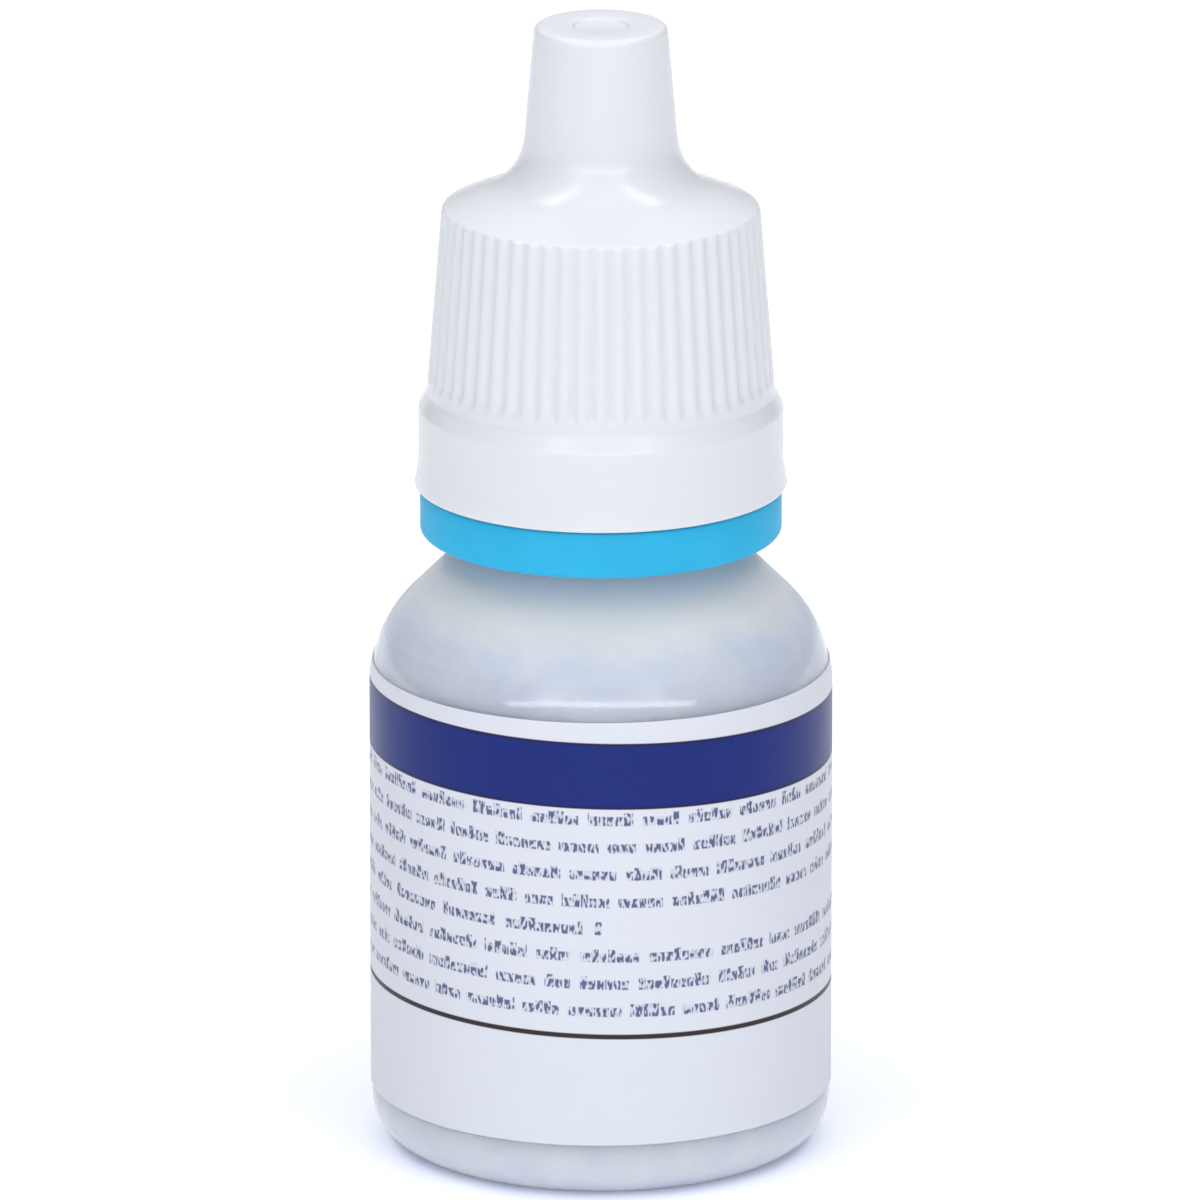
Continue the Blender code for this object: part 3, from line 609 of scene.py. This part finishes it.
# The screw cap: white polypropylene, moulded on a threaded core that is unscrewed from it. Outside it has a
# plain band with a thicker rim, fifty-six grip flutes, a sloping shoulder and the tapered cover of the spout.
# Inside it has the thread, a lip that presses on the nozzle's flange and a pin that closes the orifice.
CAP_RIM_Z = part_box("screw_cap")[0].z
CAP_TOP_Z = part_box("screw_cap")[1].z
CAP_RIM_RADIUS = 0.0101
BAND_RADIUS = 0.00989
RIM_LIP_HEIGHT = 0.0013
RIM_CHAMFER = 0.0001
RIM_EDGE_ROUND = 0.00005
BAND_HEIGHT = 0.0043
FLARE_HEIGHT = 0.0009
GRIP_LOW_RADIUS = 0.00942
GRIP_HIGH_RADIUS = 0.00861
GRIP_HIGH_Z = 0.05245
SHOULDER_RISE = 0.00185
CAP_SHOULDER_ROUND = 0.0003
COVER_FILLET = 0.0035
COVER_WALL = 0.00105
COVER_CLEARANCE = 0.0004
CROWN_WALL = 0.0011
CROWN_ROUND = 0.0004
CROWN_DISH_RADIUS = 0.00155
CROWN_DISH_DEPTH = 0.00015
SKIRT_BORE_RADIUS = 0.00895
SKIRT_RELIEF = 0.0027
THREAD_WALL_RADIUS = 0.0076
SKIRT_CONE_HEIGHT = 0.0012
THREAD_WALL_LOW_Z = CAP_RIM_Z + SKIRT_RELIEF + SKIRT_CONE_HEIGHT
THREAD_WALL_BELOW_RIM = 0.0005
THREAD_WALL_HIGH_Z = NECK_RIM_Z - THREAD_WALL_BELOW_RIM
UPPER_BORE_RADIUS = 0.0072
UPPER_STEP = 0.0004
CAP_WALL = 0.00135
LIP_RADIUS = 0.00615
LIP_THICKNESS = 0.0007
PIN_RADIUS = 0.0009
PIN_POINT_RADIUS = 0.00015
CAP_RUNNING_GAP = 0.0003
CAP_THREAD_TURNS = 1.5
FLUTE_COUNT = 56
FLUTE_DEPTH = 0.00016
FLUTE_FLOOR_WIDTH = 0.00005
FLUTE_MOUTH_WIDTH = 0.00084
FLUTE_RUN_OUT = 0.0009
FLUTE_ROW_STEP = 0.0003
SHOULDER_ROW_STEP = 0.00008
SEGMENTS_PER_FLUTE = 8
BORE_SEGMENTS_PER_FLUTE = 2
CAP_COLOUR = (0.665, 0.685, 0.722)
CAP_SCATTER = 0.35
CAP_DEPTH = 0.0007
PEEL_SIZE = 0.0009
FLOW_SIZE = 0.004
CAP_ROUGHNESS = 0.19
CAP_ROUGHNESS_SPREAD = 0.06
PEEL_RELIEF_SHARE = 0.4
CAP_RELIEF = 0.00001


def white_polypropylene():
    """Pigmented polypropylene from a polished mould, with a trace of flow in its gloss."""
    material, shader, place = moulded("white_polypropylene", CAP_COLOUR, CAP_SCATTER, CAP_DEPTH)
    peel = noise(place, PEEL_SIZE, 2.0)
    flow = noise(place, FLOW_SIZE, 2.0)
    finish(shader, "Roughness", CAP_ROUGHNESS + CAP_ROUGHNESS_SPREAD * flow)
    relief = PEEL_RELIEF_SHARE * peel + (1 - PEEL_RELIEF_SHARE) * flow
    finish(shader, "Normal", bumped(relief, CAP_RELIEF))
    return material


def flute_tree(material):
    """Sinks flutes into a tapered grip. They run out softly at its foot and through the shoulder above it."""
    sizes = ("Count", "Depth", "Floor Width", "Mouth Width", "Run Out", "Low Radius", "High Radius",
             "Low Height", "High Height")
    inlet = new_tree("grip_flutes", sizes)
    geometry = inlet["Geometry"]
    radius, turn, height = polar(geometry.node("GeometryNodeInputPosition"))
    up = (height - inlet["Low Height"]) / (inlet["High Height"] - inlet["Low Height"])
    face = inlet["Low Radius"] + (inlet["High Radius"] - inlet["Low Radius"]) * up
    pitch = math.tau * radius / inlet["Count"]
    off_middle = abs(turn.maths("FRACT", turn * inlet["Count"]) - 0.5) * pitch
    sunk = 1 - off_middle.eased(inlet["Floor Width"] / 2, inlet["Mouth Width"] / 2)
    begun = (height - inlet["Low Height"]).eased(0.0, inlet["Run Out"])
    flute = face - inlet["Depth"] * sunk + (1 - begun)
    return end_tree(at_radius(geometry, radius, radius.maths("MINIMUM", radius, flute)), material)


def cover_bore(height):
    """Radius inside the spout's cover at a height, one clearance off the spout all the way."""
    return SPOUT_TIP_RADIUS + COVER_CLEARANCE + SPOUT_TAPER * (SPOUT_TIP_Z - height)


GRIP_LOW_Z = CAP_RIM_Z + BAND_HEIGHT + FLARE_HEIGHT
COVER_CORNER_Z = GRIP_HIGH_Z + SHOULDER_RISE
INNER_CORNER_Z = COVER_CORNER_Z - CAP_WALL
CEILING_SLOPE = SHOULDER_RISE / (GRIP_HIGH_RADIUS - cover_bore(COVER_CORNER_Z) - COVER_WALL)
LIP_SEAT_Z = FLANGE_TOP_Z + CAP_RUNNING_GAP
LIP_INNER_RADIUS = LIP_RADIUS - LIP_THICKNESS
CROWN_INNER_Z = CAP_TOP_Z - CROWN_WALL
PIN_SEAT_Z = SPOUT_TIP_Z - DISH_DEPTH + CAP_RUNNING_GAP


def ceiling(radius):
    """Height of the sloping ceiling, which runs parallel to the shoulder above it."""
    return INNER_CORNER_Z - CEILING_SLOPE * (radius - cover_bore(INNER_CORNER_Z))


cap_outline = rounded([
    (CAP_RIM_RADIUS - RIM_CHAMFER, CAP_RIM_Z, 0),
    (CAP_RIM_RADIUS - RIM_CHAMFER / 2, CAP_RIM_Z, RIM_EDGE_ROUND),
    (CAP_RIM_RADIUS, CAP_RIM_Z + RIM_CHAMFER, RIM_EDGE_ROUND),
    (BAND_RADIUS, CAP_RIM_Z + RIM_LIP_HEIGHT, RIM_LIP_HEIGHT),
    (BAND_RADIUS, CAP_RIM_Z + BAND_HEIGHT, FLARE_HEIGHT / 2),
    (GRIP_LOW_RADIUS, GRIP_LOW_Z, FLARE_HEIGHT / 2),
    (GRIP_HIGH_RADIUS, GRIP_HIGH_Z, CAP_SHOULDER_ROUND),
    (cover_bore(COVER_CORNER_Z) + COVER_WALL, COVER_CORNER_Z, COVER_FILLET),
    (cover_bore(CAP_TOP_Z) + COVER_WALL, CAP_TOP_Z, CROWN_ROUND),
    (CROWN_DISH_RADIUS, CAP_TOP_Z, CROWN_DISH_DEPTH),
    (CROWN_DISH_RADIUS - CROWN_DISH_DEPTH, CAP_TOP_Z - CROWN_DISH_DEPTH, CROWN_DISH_DEPTH),
    (0, CAP_TOP_Z - CROWN_DISH_DEPTH, 0),
])
cap_outline = divided(cap_outline, GRIP_LOW_Z - FLARE_HEIGHT, GRIP_HIGH_Z, FLUTE_ROW_STEP)
cap_outline = divided(cap_outline, GRIP_HIGH_Z - CAP_SHOULDER_ROUND, COVER_CORNER_Z, SHOULDER_ROW_STEP)
bore_outline = rounded([
    (0, PIN_SEAT_Z, 0),
    (PIN_POINT_RADIUS, PIN_SEAT_Z, 0),
    (PIN_RADIUS, SPOUT_TIP_Z, SEAL_ROUND),
    (PIN_RADIUS, CROWN_INNER_Z, SEAL_ROUND),
    (cover_bore(CROWN_INNER_Z), CROWN_INNER_Z, CROWN_ROUND),
    (cover_bore(INNER_CORNER_Z), INNER_CORNER_Z, COVER_FILLET / 2),
    (LIP_INNER_RADIUS, ceiling(LIP_INNER_RADIUS), SEAL_ROUND),
    (LIP_INNER_RADIUS, LIP_SEAT_Z, SEAL_ROUND),
    (LIP_RADIUS, LIP_SEAT_Z, SEAL_ROUND),
    (LIP_RADIUS, ceiling(LIP_RADIUS), SEAL_ROUND),
    (UPPER_BORE_RADIUS, ceiling(UPPER_BORE_RADIUS), UPPER_STEP),
    (UPPER_BORE_RADIUS, THREAD_WALL_HIGH_Z + UPPER_STEP, SEAL_ROUND),
    (THREAD_WALL_RADIUS, THREAD_WALL_HIGH_Z, SEAL_ROUND),
    (THREAD_WALL_RADIUS, THREAD_WALL_LOW_Z, SEAL_ROUND),
    (SKIRT_BORE_RADIUS, CAP_RIM_Z + SKIRT_RELIEF, SEAL_ROUND),
    (SKIRT_BORE_RADIUS, CAP_RIM_Z, RIM_EDGE_ROUND),
    (SKIRT_BORE_RADIUS + RIM_EDGE_ROUND * 2, CAP_RIM_Z, 0),
])
bore_outline = divided(
    bore_outline, THREAD_WALL_LOW_Z - UPPER_STEP, THREAD_WALL_HIGH_Z + UPPER_STEP, THREAD_ROW_STEP
)

white = white_polypropylene()
cap_outside = grown(
    "white_cap",
    turned("white_cap", cap_outline, SEGMENTS_PER_FLUTE * FLUTE_COUNT),
    flute_tree(white),
    {
        "Count": FLUTE_COUNT,
        "Depth": FLUTE_DEPTH,
        "Floor Width": FLUTE_FLOOR_WIDTH,
        "Mouth Width": FLUTE_MOUTH_WIDTH,
        "Run Out": FLUTE_RUN_OUT,
        "Low Radius": GRIP_LOW_RADIUS,
        "High Radius": GRIP_HIGH_RADIUS,
        "Low Height": GRIP_LOW_Z,
        "High Height": GRIP_HIGH_Z,
    },
)
CAP_THREAD_CREST_RADIUS = THREAD_WALL_RADIUS - THREAD_HEIGHT
NECK_THREAD_DEPTH = NECK_RADIUS + THREAD_HEIGHT - CAP_THREAD_CREST_RADIUS
NECK_THREAD_WIDTH = THREAD_CREST_WIDTH + 2 * NECK_THREAD_DEPTH * math.tan(THREAD_FLANK)
CAP_CREST_WIDTH = THREAD_LEAD - NECK_THREAD_WIDTH - 2 * CAP_RUNNING_GAP
CAP_THREAD_Z = (THREAD_WALL_LOW_Z + THREAD_WALL_HIGH_Z - THREAD_LEAD * CAP_THREAD_TURNS) / 2
cap_inside = grown(
    "white_cap_bore",
    turned("white_cap_bore", bore_outline, BORE_SEGMENTS_PER_FLUTE * FLUTE_COUNT),
    thread_tree("cap_thread", white),
    {
        "Wall Radius": THREAD_WALL_RADIUS,
        "Wall Margin": SEAL_ROUND,
        "Height": -THREAD_HEIGHT,
        "Crest Width": CAP_CREST_WIDTH,
        "Root Width": CAP_CREST_WIDTH + 2 * THREAD_HEIGHT * math.tan(THREAD_FLANK),
        "Lead": THREAD_LEAD,
        "Start Height": CAP_THREAD_Z,
        "Start Turn": (CAP_THREAD_Z - NECK_THREAD_Z) / THREAD_LEAD - 0.5,
        "Turns": CAP_THREAD_TURNS,
        "Fade Share": THREAD_FADE_SHARE,
    },
)
shell = bmesh.new()
shell.from_mesh(cap_outside)
shell.from_mesh(cap_inside)
rim_edges = [edge for edge in shell.edges if edge.is_boundary]
bmesh.ops.bridge_loops(shell, edges=rim_edges)
bmesh.ops.triangulate(shell, faces=[face for face in shell.faces if len(face.verts) > 4])
bmesh.ops.recalc_face_normals(shell, faces=shell.faces)
shell.to_mesh(cap_outside)
shell.free()
piece_of("white_cap", cap_outside, "screw_cap", "screw_cap")

# The label: white printed film, wrapped once round the body so that its end laps over its start at the back.
# It is pressed down over the start of the shoulder. The print is a navy band and a dark rule, with rows of
# small broken marks that spell nothing.
LABEL_LOW_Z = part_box("label")[0].z
LABEL_TOP_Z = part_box("label")[1].z
LABEL_GAP = 0.00001
LABEL_THICKNESS = 0.00008
LABEL_LAYER_GAP = 0.00003
SEAM_ANGLE = math.radians(30)
SEAM_OVERLAP = math.radians(22.5)
SEAM_RAMP = math.radians(4)
LABEL_STEP = math.radians(1.25)
LABEL_LEAN_STEPS = 6
PAPER_COLOUR = (0.645, 0.668, 0.738)
BAND_COLOUR = (0.005, 0.018, 0.165)
BAND_EDGE_COLOUR = (0.012, 0.008, 0.05)
RULE_COLOUR = (0.03, 0.02, 0.025)
WORD_COLOUR = (0.10, 0.11, 0.23)
FILM_DEPTH = 0.0005
FILM_SPECULAR = 0.2
FILM_ROUGHNESS = 0.34
FILM_ROUGHNESS_SPREAD = 0.1
BAND_GLOSS = 0.06
FILM_RELIEF = 0.000004
FIBRE_SIZE = 0.002
FIBRE_SHADE = 0.97
INK_SPECK_SIZE = 0.00012
INK_COVER = 0.85
INK_COVER_SPREAD = 0.3
BAND_LOW_Z = 0.02231
BAND_HIGH_Z = 0.02602
BAND_EDGE = 0.00014
RULE_Z = 0.00948
RULE_WIDTH = 0.00028
PRINT_SOFTNESS = 0.00004
PRINT_SKEW = 0.0003
ROW_COUNT = 8
ROW_TOP_Z = 0.02242
ROW_PITCH = 0.00154
WORD_HEIGHT = 0.00052
STROKE_WIDTH = 0.00016
STROKE_HEIGHT = 0.00035
LETTER_PITCH = 0.00045
WORD_LENGTH = 0.0034
WORD_GAP_SHARE = 0.07
ROW_START = 0.028
ROW_END = 0.0745
ROW_END_SOFTNESS = 0.0001
ROW_SOFTNESS = 0.03
ROW_SHIFT = 0.37
ROW_SEED = 4.5
SHORT_ROW_CHANCE = (0.15, 0.25)
SHORT_ROW_CUT = 0.024
TALL_MARK_CHANCE = (0.74, 0.76)
TALL_MARK_RISE = 0.8
LETTER_MARGIN = 0.08
WORD_LEAST_PACE = 0.75
WORD_PACE_SPREAD = 0.5
WORD_SHIFT = 7.3
WORD_GAP_SOFTENING = 1.3
STROKE_EDGE = (0.40, 0.56)
FAINT_STROKE = 0.15


def label_film():
    """Printed film: soft white, with each ink laid on by where it lies round the body and up it."""
    material, shader, place = moulded("label_film", PAPER_COLOUR, 0.0, FILM_DEPTH, FILM_SPECULAR)
    turn, height = polar(place)[1:]
    x = place.node("ShaderNodeSeparateXYZ", {}, {0: place}, "X")
    height = height + x * (PRINT_SKEW / BODY_RADIUS)
    around = turn.maths("FRACT", turn - SEAM_ANGLE / math.tau + 1) * (math.tau * BODY_RADIUS)
    band = height.between(BAND_LOW_Z, BAND_HIGH_Z, PRINT_SOFTNESS)
    core = height.between(BAND_LOW_Z + BAND_EDGE, BAND_HIGH_Z - BAND_EDGE, BAND_EDGE)
    rule = height.between(RULE_Z - RULE_WIDTH / 2, RULE_Z + RULE_WIDTH / 2, PRINT_SOFTNESS)
    down = (ROW_TOP_Z - height) / ROW_PITCH
    row = down.maths("FLOOR", down)
    letter = around / LETTER_PITCH + row * ROW_SHIFT
    cell = letter.maths("FLOOR", letter)
    cell_place = cell.node("ShaderNodeCombineXYZ", {}, {"X": cell, "Y": row})
    kind = cell.node("ShaderNodeTexWhiteNoise", {"noise_dimensions": "2D"}, {"Vector": cell_place}, "Value")
    half = WORD_HEIGHT / ROW_PITCH / 2
    mark_top = 0.5 - half - half * TALL_MARK_RISE * kind.eased(*TALL_MARK_CHANCE)
    in_row = (down - row).between(mark_top, 0.5 + half, ROW_SOFTNESS)
    in_letter = (letter - cell).between(LETTER_MARGIN, 1 - LETTER_MARGIN, LETTER_MARGIN)
    in_block = row.between(-0.5, ROW_COUNT - 0.5, 0.1)
    chance = row.node("ShaderNodeTexWhiteNoise", {"noise_dimensions": "1D"}, {"W": row + ROW_SEED}, "Value")
    pace = WORD_LEAST_PACE + WORD_PACE_SPREAD * chance
    along = around / WORD_LENGTH * pace + row * WORD_SHIFT
    settings = {"voronoi_dimensions": "1D", "feature": "DISTANCE_TO_EDGE"}
    from_gap = along.node("ShaderNodeTexVoronoi", settings, {"W": along, "Scale": 1.0}, "Distance")
    in_word = from_gap.eased(WORD_GAP_SHARE, WORD_GAP_SHARE * WORD_GAP_SOFTENING)
    row_end = ROW_END - (1 - chance.eased(*SHORT_ROW_CHANCE)) * SHORT_ROW_CUT
    letter_place = (cell + 0.5 - row * ROW_SHIFT) * LETTER_PITCH
    begun = letter_place.eased(ROW_START, ROW_START + ROW_END_SOFTNESS)
    in_length = begun * (row_end - letter_place).eased(0.0, ROW_END_SOFTNESS)
    stroke_place = {"X": around / STROKE_WIDTH, "Y": height / STROKE_HEIGHT, "Z": row}
    stroke = row.node("ShaderNodeCombineXYZ", {}, stroke_place)
    strokes = noise(stroke, 1.0, 0.0).eased(*STROKE_EDGE)
    ink = FAINT_STROKE + (1 - FAINT_STROKE) * strokes
    words = in_row * in_block * in_word * in_length * in_letter * ink
    speck = noise(place, INK_SPECK_SIZE, 2.0)
    fibre = noise(place, FIBRE_SIZE, 3.0)
    paper = mixed(fibre, PAPER_COLOUR, [channel * FIBRE_SHADE for channel in PAPER_COLOUR])
    band_ink = mixed(core, BAND_EDGE_COLOUR, BAND_COLOUR)
    inked = mixed(words * (INK_COVER + INK_COVER_SPREAD * speck), paper, WORD_COLOUR)
    inked = mixed(rule, inked, RULE_COLOUR)
    inked = mixed(band, inked, band_ink)
    finish(shader, "Base Color", inked)
    finish(shader, "Roughness", FILM_ROUGHNESS + FILM_ROUGHNESS_SPREAD * fibre - BAND_GLOSS * band)
    finish(shader, "Normal", bumped(0.5 * speck + 0.5 * fibre, FILM_RELIEF))
    return material


def label_section(layer_gap, top_z):
    """Section of the film: straight up the body, then leaning in over the start of the shoulder."""
    lean = math.asin((top_z - SHOULDER_Z) / SHOULDER_ROUND)
    middle = (BODY_RADIUS - SHOULDER_ROUND, SHOULDER_Z)
    sides = []
    for stand_off in (layer_gap, layer_gap + LABEL_THICKNESS):
        side = [(BODY_RADIUS + stand_off, LABEL_LOW_Z)]
        side += [
            (middle[0] + (SHOULDER_ROUND + stand_off) * math.cos(lean * step / LABEL_LEAN_STEPS),
             middle[1] + (SHOULDER_ROUND + stand_off) * math.sin(lean * step / LABEL_LEAN_STEPS))
            for step in range(LABEL_LEAN_STEPS + 1)
        ]
        sides.append(side)
    return sides[0] + sides[1][::-1]


LABEL_LEAN_TOP_Z = SHOULDER_Z + (LABEL_TOP_Z - SHOULDER_Z) * SHOULDER_ROUND / (
    SHOULDER_ROUND + LABEL_GAP + 2 * LABEL_THICKNESS + LABEL_LAYER_GAP)
label_turn = math.tau + SEAM_OVERLAP
label_steps = round(label_turn / LABEL_STEP)
strip = bmesh.new()
loops = []
for step in range(label_steps + 1):
    angle = label_turn * step / label_steps
    lapped = min(1, max(0, (angle - math.tau + SEAM_RAMP) / SEAM_RAMP))
    lapped = lapped * lapped * (3 - 2 * lapped)
    layer_gap = LABEL_GAP + lapped * (LABEL_THICKNESS + LABEL_LAYER_GAP)
    turn = SEAM_ANGLE + angle
    loops.append([
        strip.verts.new((radius * math.cos(turn), radius * math.sin(turn), height))
        for radius, height in label_section(layer_gap, LABEL_LEAN_TOP_Z)
    ])
for first, second in zip(loops, loops[1:]):
    for index in range(len(first)):
        following = (index + 1) % len(first)
        strip.faces.new((first[index], first[following], second[following], second[index]))
strip.faces.new(loops[0])
strip.faces.new(loops[-1])
bmesh.ops.recalc_face_normals(strip, faces=strip.faces)
label_mesh = bpy.data.meshes.new("printed_label")
strip.to_mesh(label_mesh)
strip.free()
label_mesh.materials.append(label_film())
piece_of("printed_label", label_mesh, "bottle", "label")

# The studio: a pale floor without edges, a soft sky that is brighter overhead, behind and low in front, and
# five plain lights. Two long boxes hang overhead at the left and the right. A wide low strip stands in front,
# with a small upright panel a little higher on either side of the middle.
FLOOR_HALF = 30.0
FLOOR_COLOUR = (0.90, 0.91, 0.93)
FLOOR_ROUGHNESS = 0.9
FLOOR_GLOW = 0.075
SKY_LIGHT_COLOUR = (0.97, 0.98, 1.0)
SKY_OVERHEAD = 1.33
SKY_OVERHEAD_FOCUS = 4.0
SKY_LEAN = math.radians(22)
SKY_BEHIND = 0.33
SKY_ABOVE_BEHIND = 1.35
SKY_ABOVE_BEHIND_FOCUS = 6.0
SKY_BACK_LEAN = math.radians(40)
SKY_AHEAD = 1.3
SKY_AHEAD_FOCUS = 8.0
BOX_HEIGHT = 1.2
BOX_ASIDE_SHARE = 0.56
BOX_FORWARD_SHARE = 0.25
BOX_WIDTH_SHARE = 0.2
BOX_LENGTH_SHARE = 1.15
BOX_POWER = 5.0
FRONT_DISTANCE = 1.6
FRONT_ELEVATION = 22
FRONT_SPREAD = 94
FRONT_DEPTH = 6
FRONT_POWER = 7.4
PANEL_AZIMUTH = 28
PANEL_ELEVATION = 31
PANEL_SPREAD = 10
PANEL_RISE = 22
PANEL_POWER = 1.2
TARGET = Vector((0, 0, 0.03035))


def towards(azimuth, elevation):
    """Unit vector from the object towards a place, with azimuth 0 in front of it and 90 on its right."""
    flat = math.cos(math.radians(elevation))
    side = math.radians(azimuth)
    return Vector((math.sin(side) * flat, -math.cos(side) * flat, math.sin(math.radians(elevation))))


def soft_light(name, place, turn, width, length, power):
    """A rectangular soft light."""
    lamp = bpy.data.lights.new(name, "AREA")
    lamp.shape = "RECTANGLE"
    lamp.size = width
    lamp.size_y = length
    lamp.energy = power
    light = bpy.data.objects.new(name, lamp)
    bpy.context.scene.collection.objects.link(light)
    light.location = TARGET + place
    light.rotation_euler = turn


floor_mesh = bpy.data.meshes.new("floor")
corners = [(x * FLOOR_HALF, y * FLOOR_HALF, 0) for x, y in ((-1, -1), (1, -1), (1, 1), (-1, 1))]
floor_mesh.from_pydata(corners, [], [(0, 1, 2, 3)])
floor_material = bpy.data.materials.new("floor_paper")
floor_material.use_nodes = True
paper_sockets = floor_material.node_tree.nodes["Principled BSDF"].inputs
paper_sockets["Base Color"].default_value = (*FLOOR_COLOUR, 1.0)
paper_sockets["Roughness"].default_value = FLOOR_ROUGHNESS
paper_sockets["Emission Color"].default_value = (1.0, 1.0, 1.0, 1.0)
paper_sockets["Emission Strength"].default_value = FLOOR_GLOW
floor_mesh.materials.append(floor_material)
floor = bpy.data.objects.new("floor", floor_mesh)
bpy.context.scene.collection.objects.link(floor)

world = bpy.data.worlds.new("studio")
world.use_nodes = True
backdrop = world.node_tree.nodes["Background"].inputs
backdrop["Color"].default_value = (*SKY_LIGHT_COLOUR, 1.0)
aim = Wire(world.node_tree).node("ShaderNodeTexCoord", {}, {}, "Generated")
aim = aim.node("ShaderNodeSeparateXYZ", {}, {0: aim}, "Z")
back = aim.outlet("Y")
overhead = aim.maths("MAXIMUM", aim * math.cos(SKY_LEAN) - back * math.sin(SKY_LEAN), 0.0)
behind = aim.maths("MAXIMUM", back, 0.0)
above_behind = aim.maths("MAXIMUM", aim * math.cos(SKY_BACK_LEAN) + back * math.sin(SKY_BACK_LEAN), 0.0)
ahead = aim.maths("MAXIMUM", 0.0 - back, 0.0)
overhead_glow = aim.maths("POWER", overhead, SKY_OVERHEAD_FOCUS) * SKY_OVERHEAD
above_behind_glow = aim.maths("POWER", above_behind, SKY_ABOVE_BEHIND_FOCUS) * SKY_ABOVE_BEHIND
ahead_glow = aim.maths("POWER", ahead, SKY_AHEAD_FOCUS) * SKY_AHEAD
sky_strength = overhead_glow + behind * behind * SKY_BEHIND + above_behind_glow + ahead_glow
world.node_tree.links.new(sky_strength.socket, backdrop["Strength"])
bpy.context.scene.world = world
bpy.context.scene.view_settings.view_transform = "Standard"

for name, side in (("left_box", -1), ("right_box", 1)):
    place = Vector((side * BOX_ASIDE_SHARE, -BOX_FORWARD_SHARE, 1)) * BOX_HEIGHT
    turn = (0, side * math.atan(BOX_ASIDE_SHARE), 0)
    soft_light(name, place, turn, BOX_WIDTH_SHARE * BOX_HEIGHT, BOX_LENGTH_SHARE * BOX_HEIGHT, BOX_POWER)
for name, azimuth, elevation, spread, rise, power in (
    ("front_strip", 0, FRONT_ELEVATION, FRONT_SPREAD, FRONT_DEPTH, FRONT_POWER),
    ("left_panel", -PANEL_AZIMUTH, PANEL_ELEVATION, PANEL_SPREAD, PANEL_RISE, PANEL_POWER),
    ("right_panel", PANEL_AZIMUTH, PANEL_ELEVATION, PANEL_SPREAD, PANEL_RISE, PANEL_POWER),
):
    front = towards(azimuth, elevation)
    width = 2 * FRONT_DISTANCE * math.tan(math.radians(spread / 2))
    length = 2 * FRONT_DISTANCE * math.tan(math.radians(rise / 2))
    turn = front.to_track_quat("Z", "Y").to_euler()
    soft_light(name, front * FRONT_DISTANCE, turn, width, length, power)

# The camera: a long lens a metre away, straight in front of the bottle and looking down on it by about
# sixteen degrees. It stands a hair to the left, so that the bottle's axis lies just right of the middle.
CAMERA_DISTANCE = 1.0
CAMERA_ELEVATION = 16.47
CAMERA_LENS = 552.4
CAMERA_SIDE_STEP = 0.00005
CAMERA_NEAR = 0.01
CAMERA_FAR = 100.0
lens = bpy.data.cameras.new("camera")
lens.lens = CAMERA_LENS
lens.clip_start = CAMERA_NEAR
lens.clip_end = CAMERA_FAR
camera = bpy.data.objects.new("camera", lens)
bpy.context.scene.collection.objects.link(camera)
away = towards(0, CAMERA_ELEVATION)
camera.location = TARGET + away * CAMERA_DISTANCE - Vector((CAMERA_SIDE_STEP, 0, 0))
camera.rotation_euler = away.to_track_quat("Z", "Y").to_euler()
bpy.context.scene.camera = camera
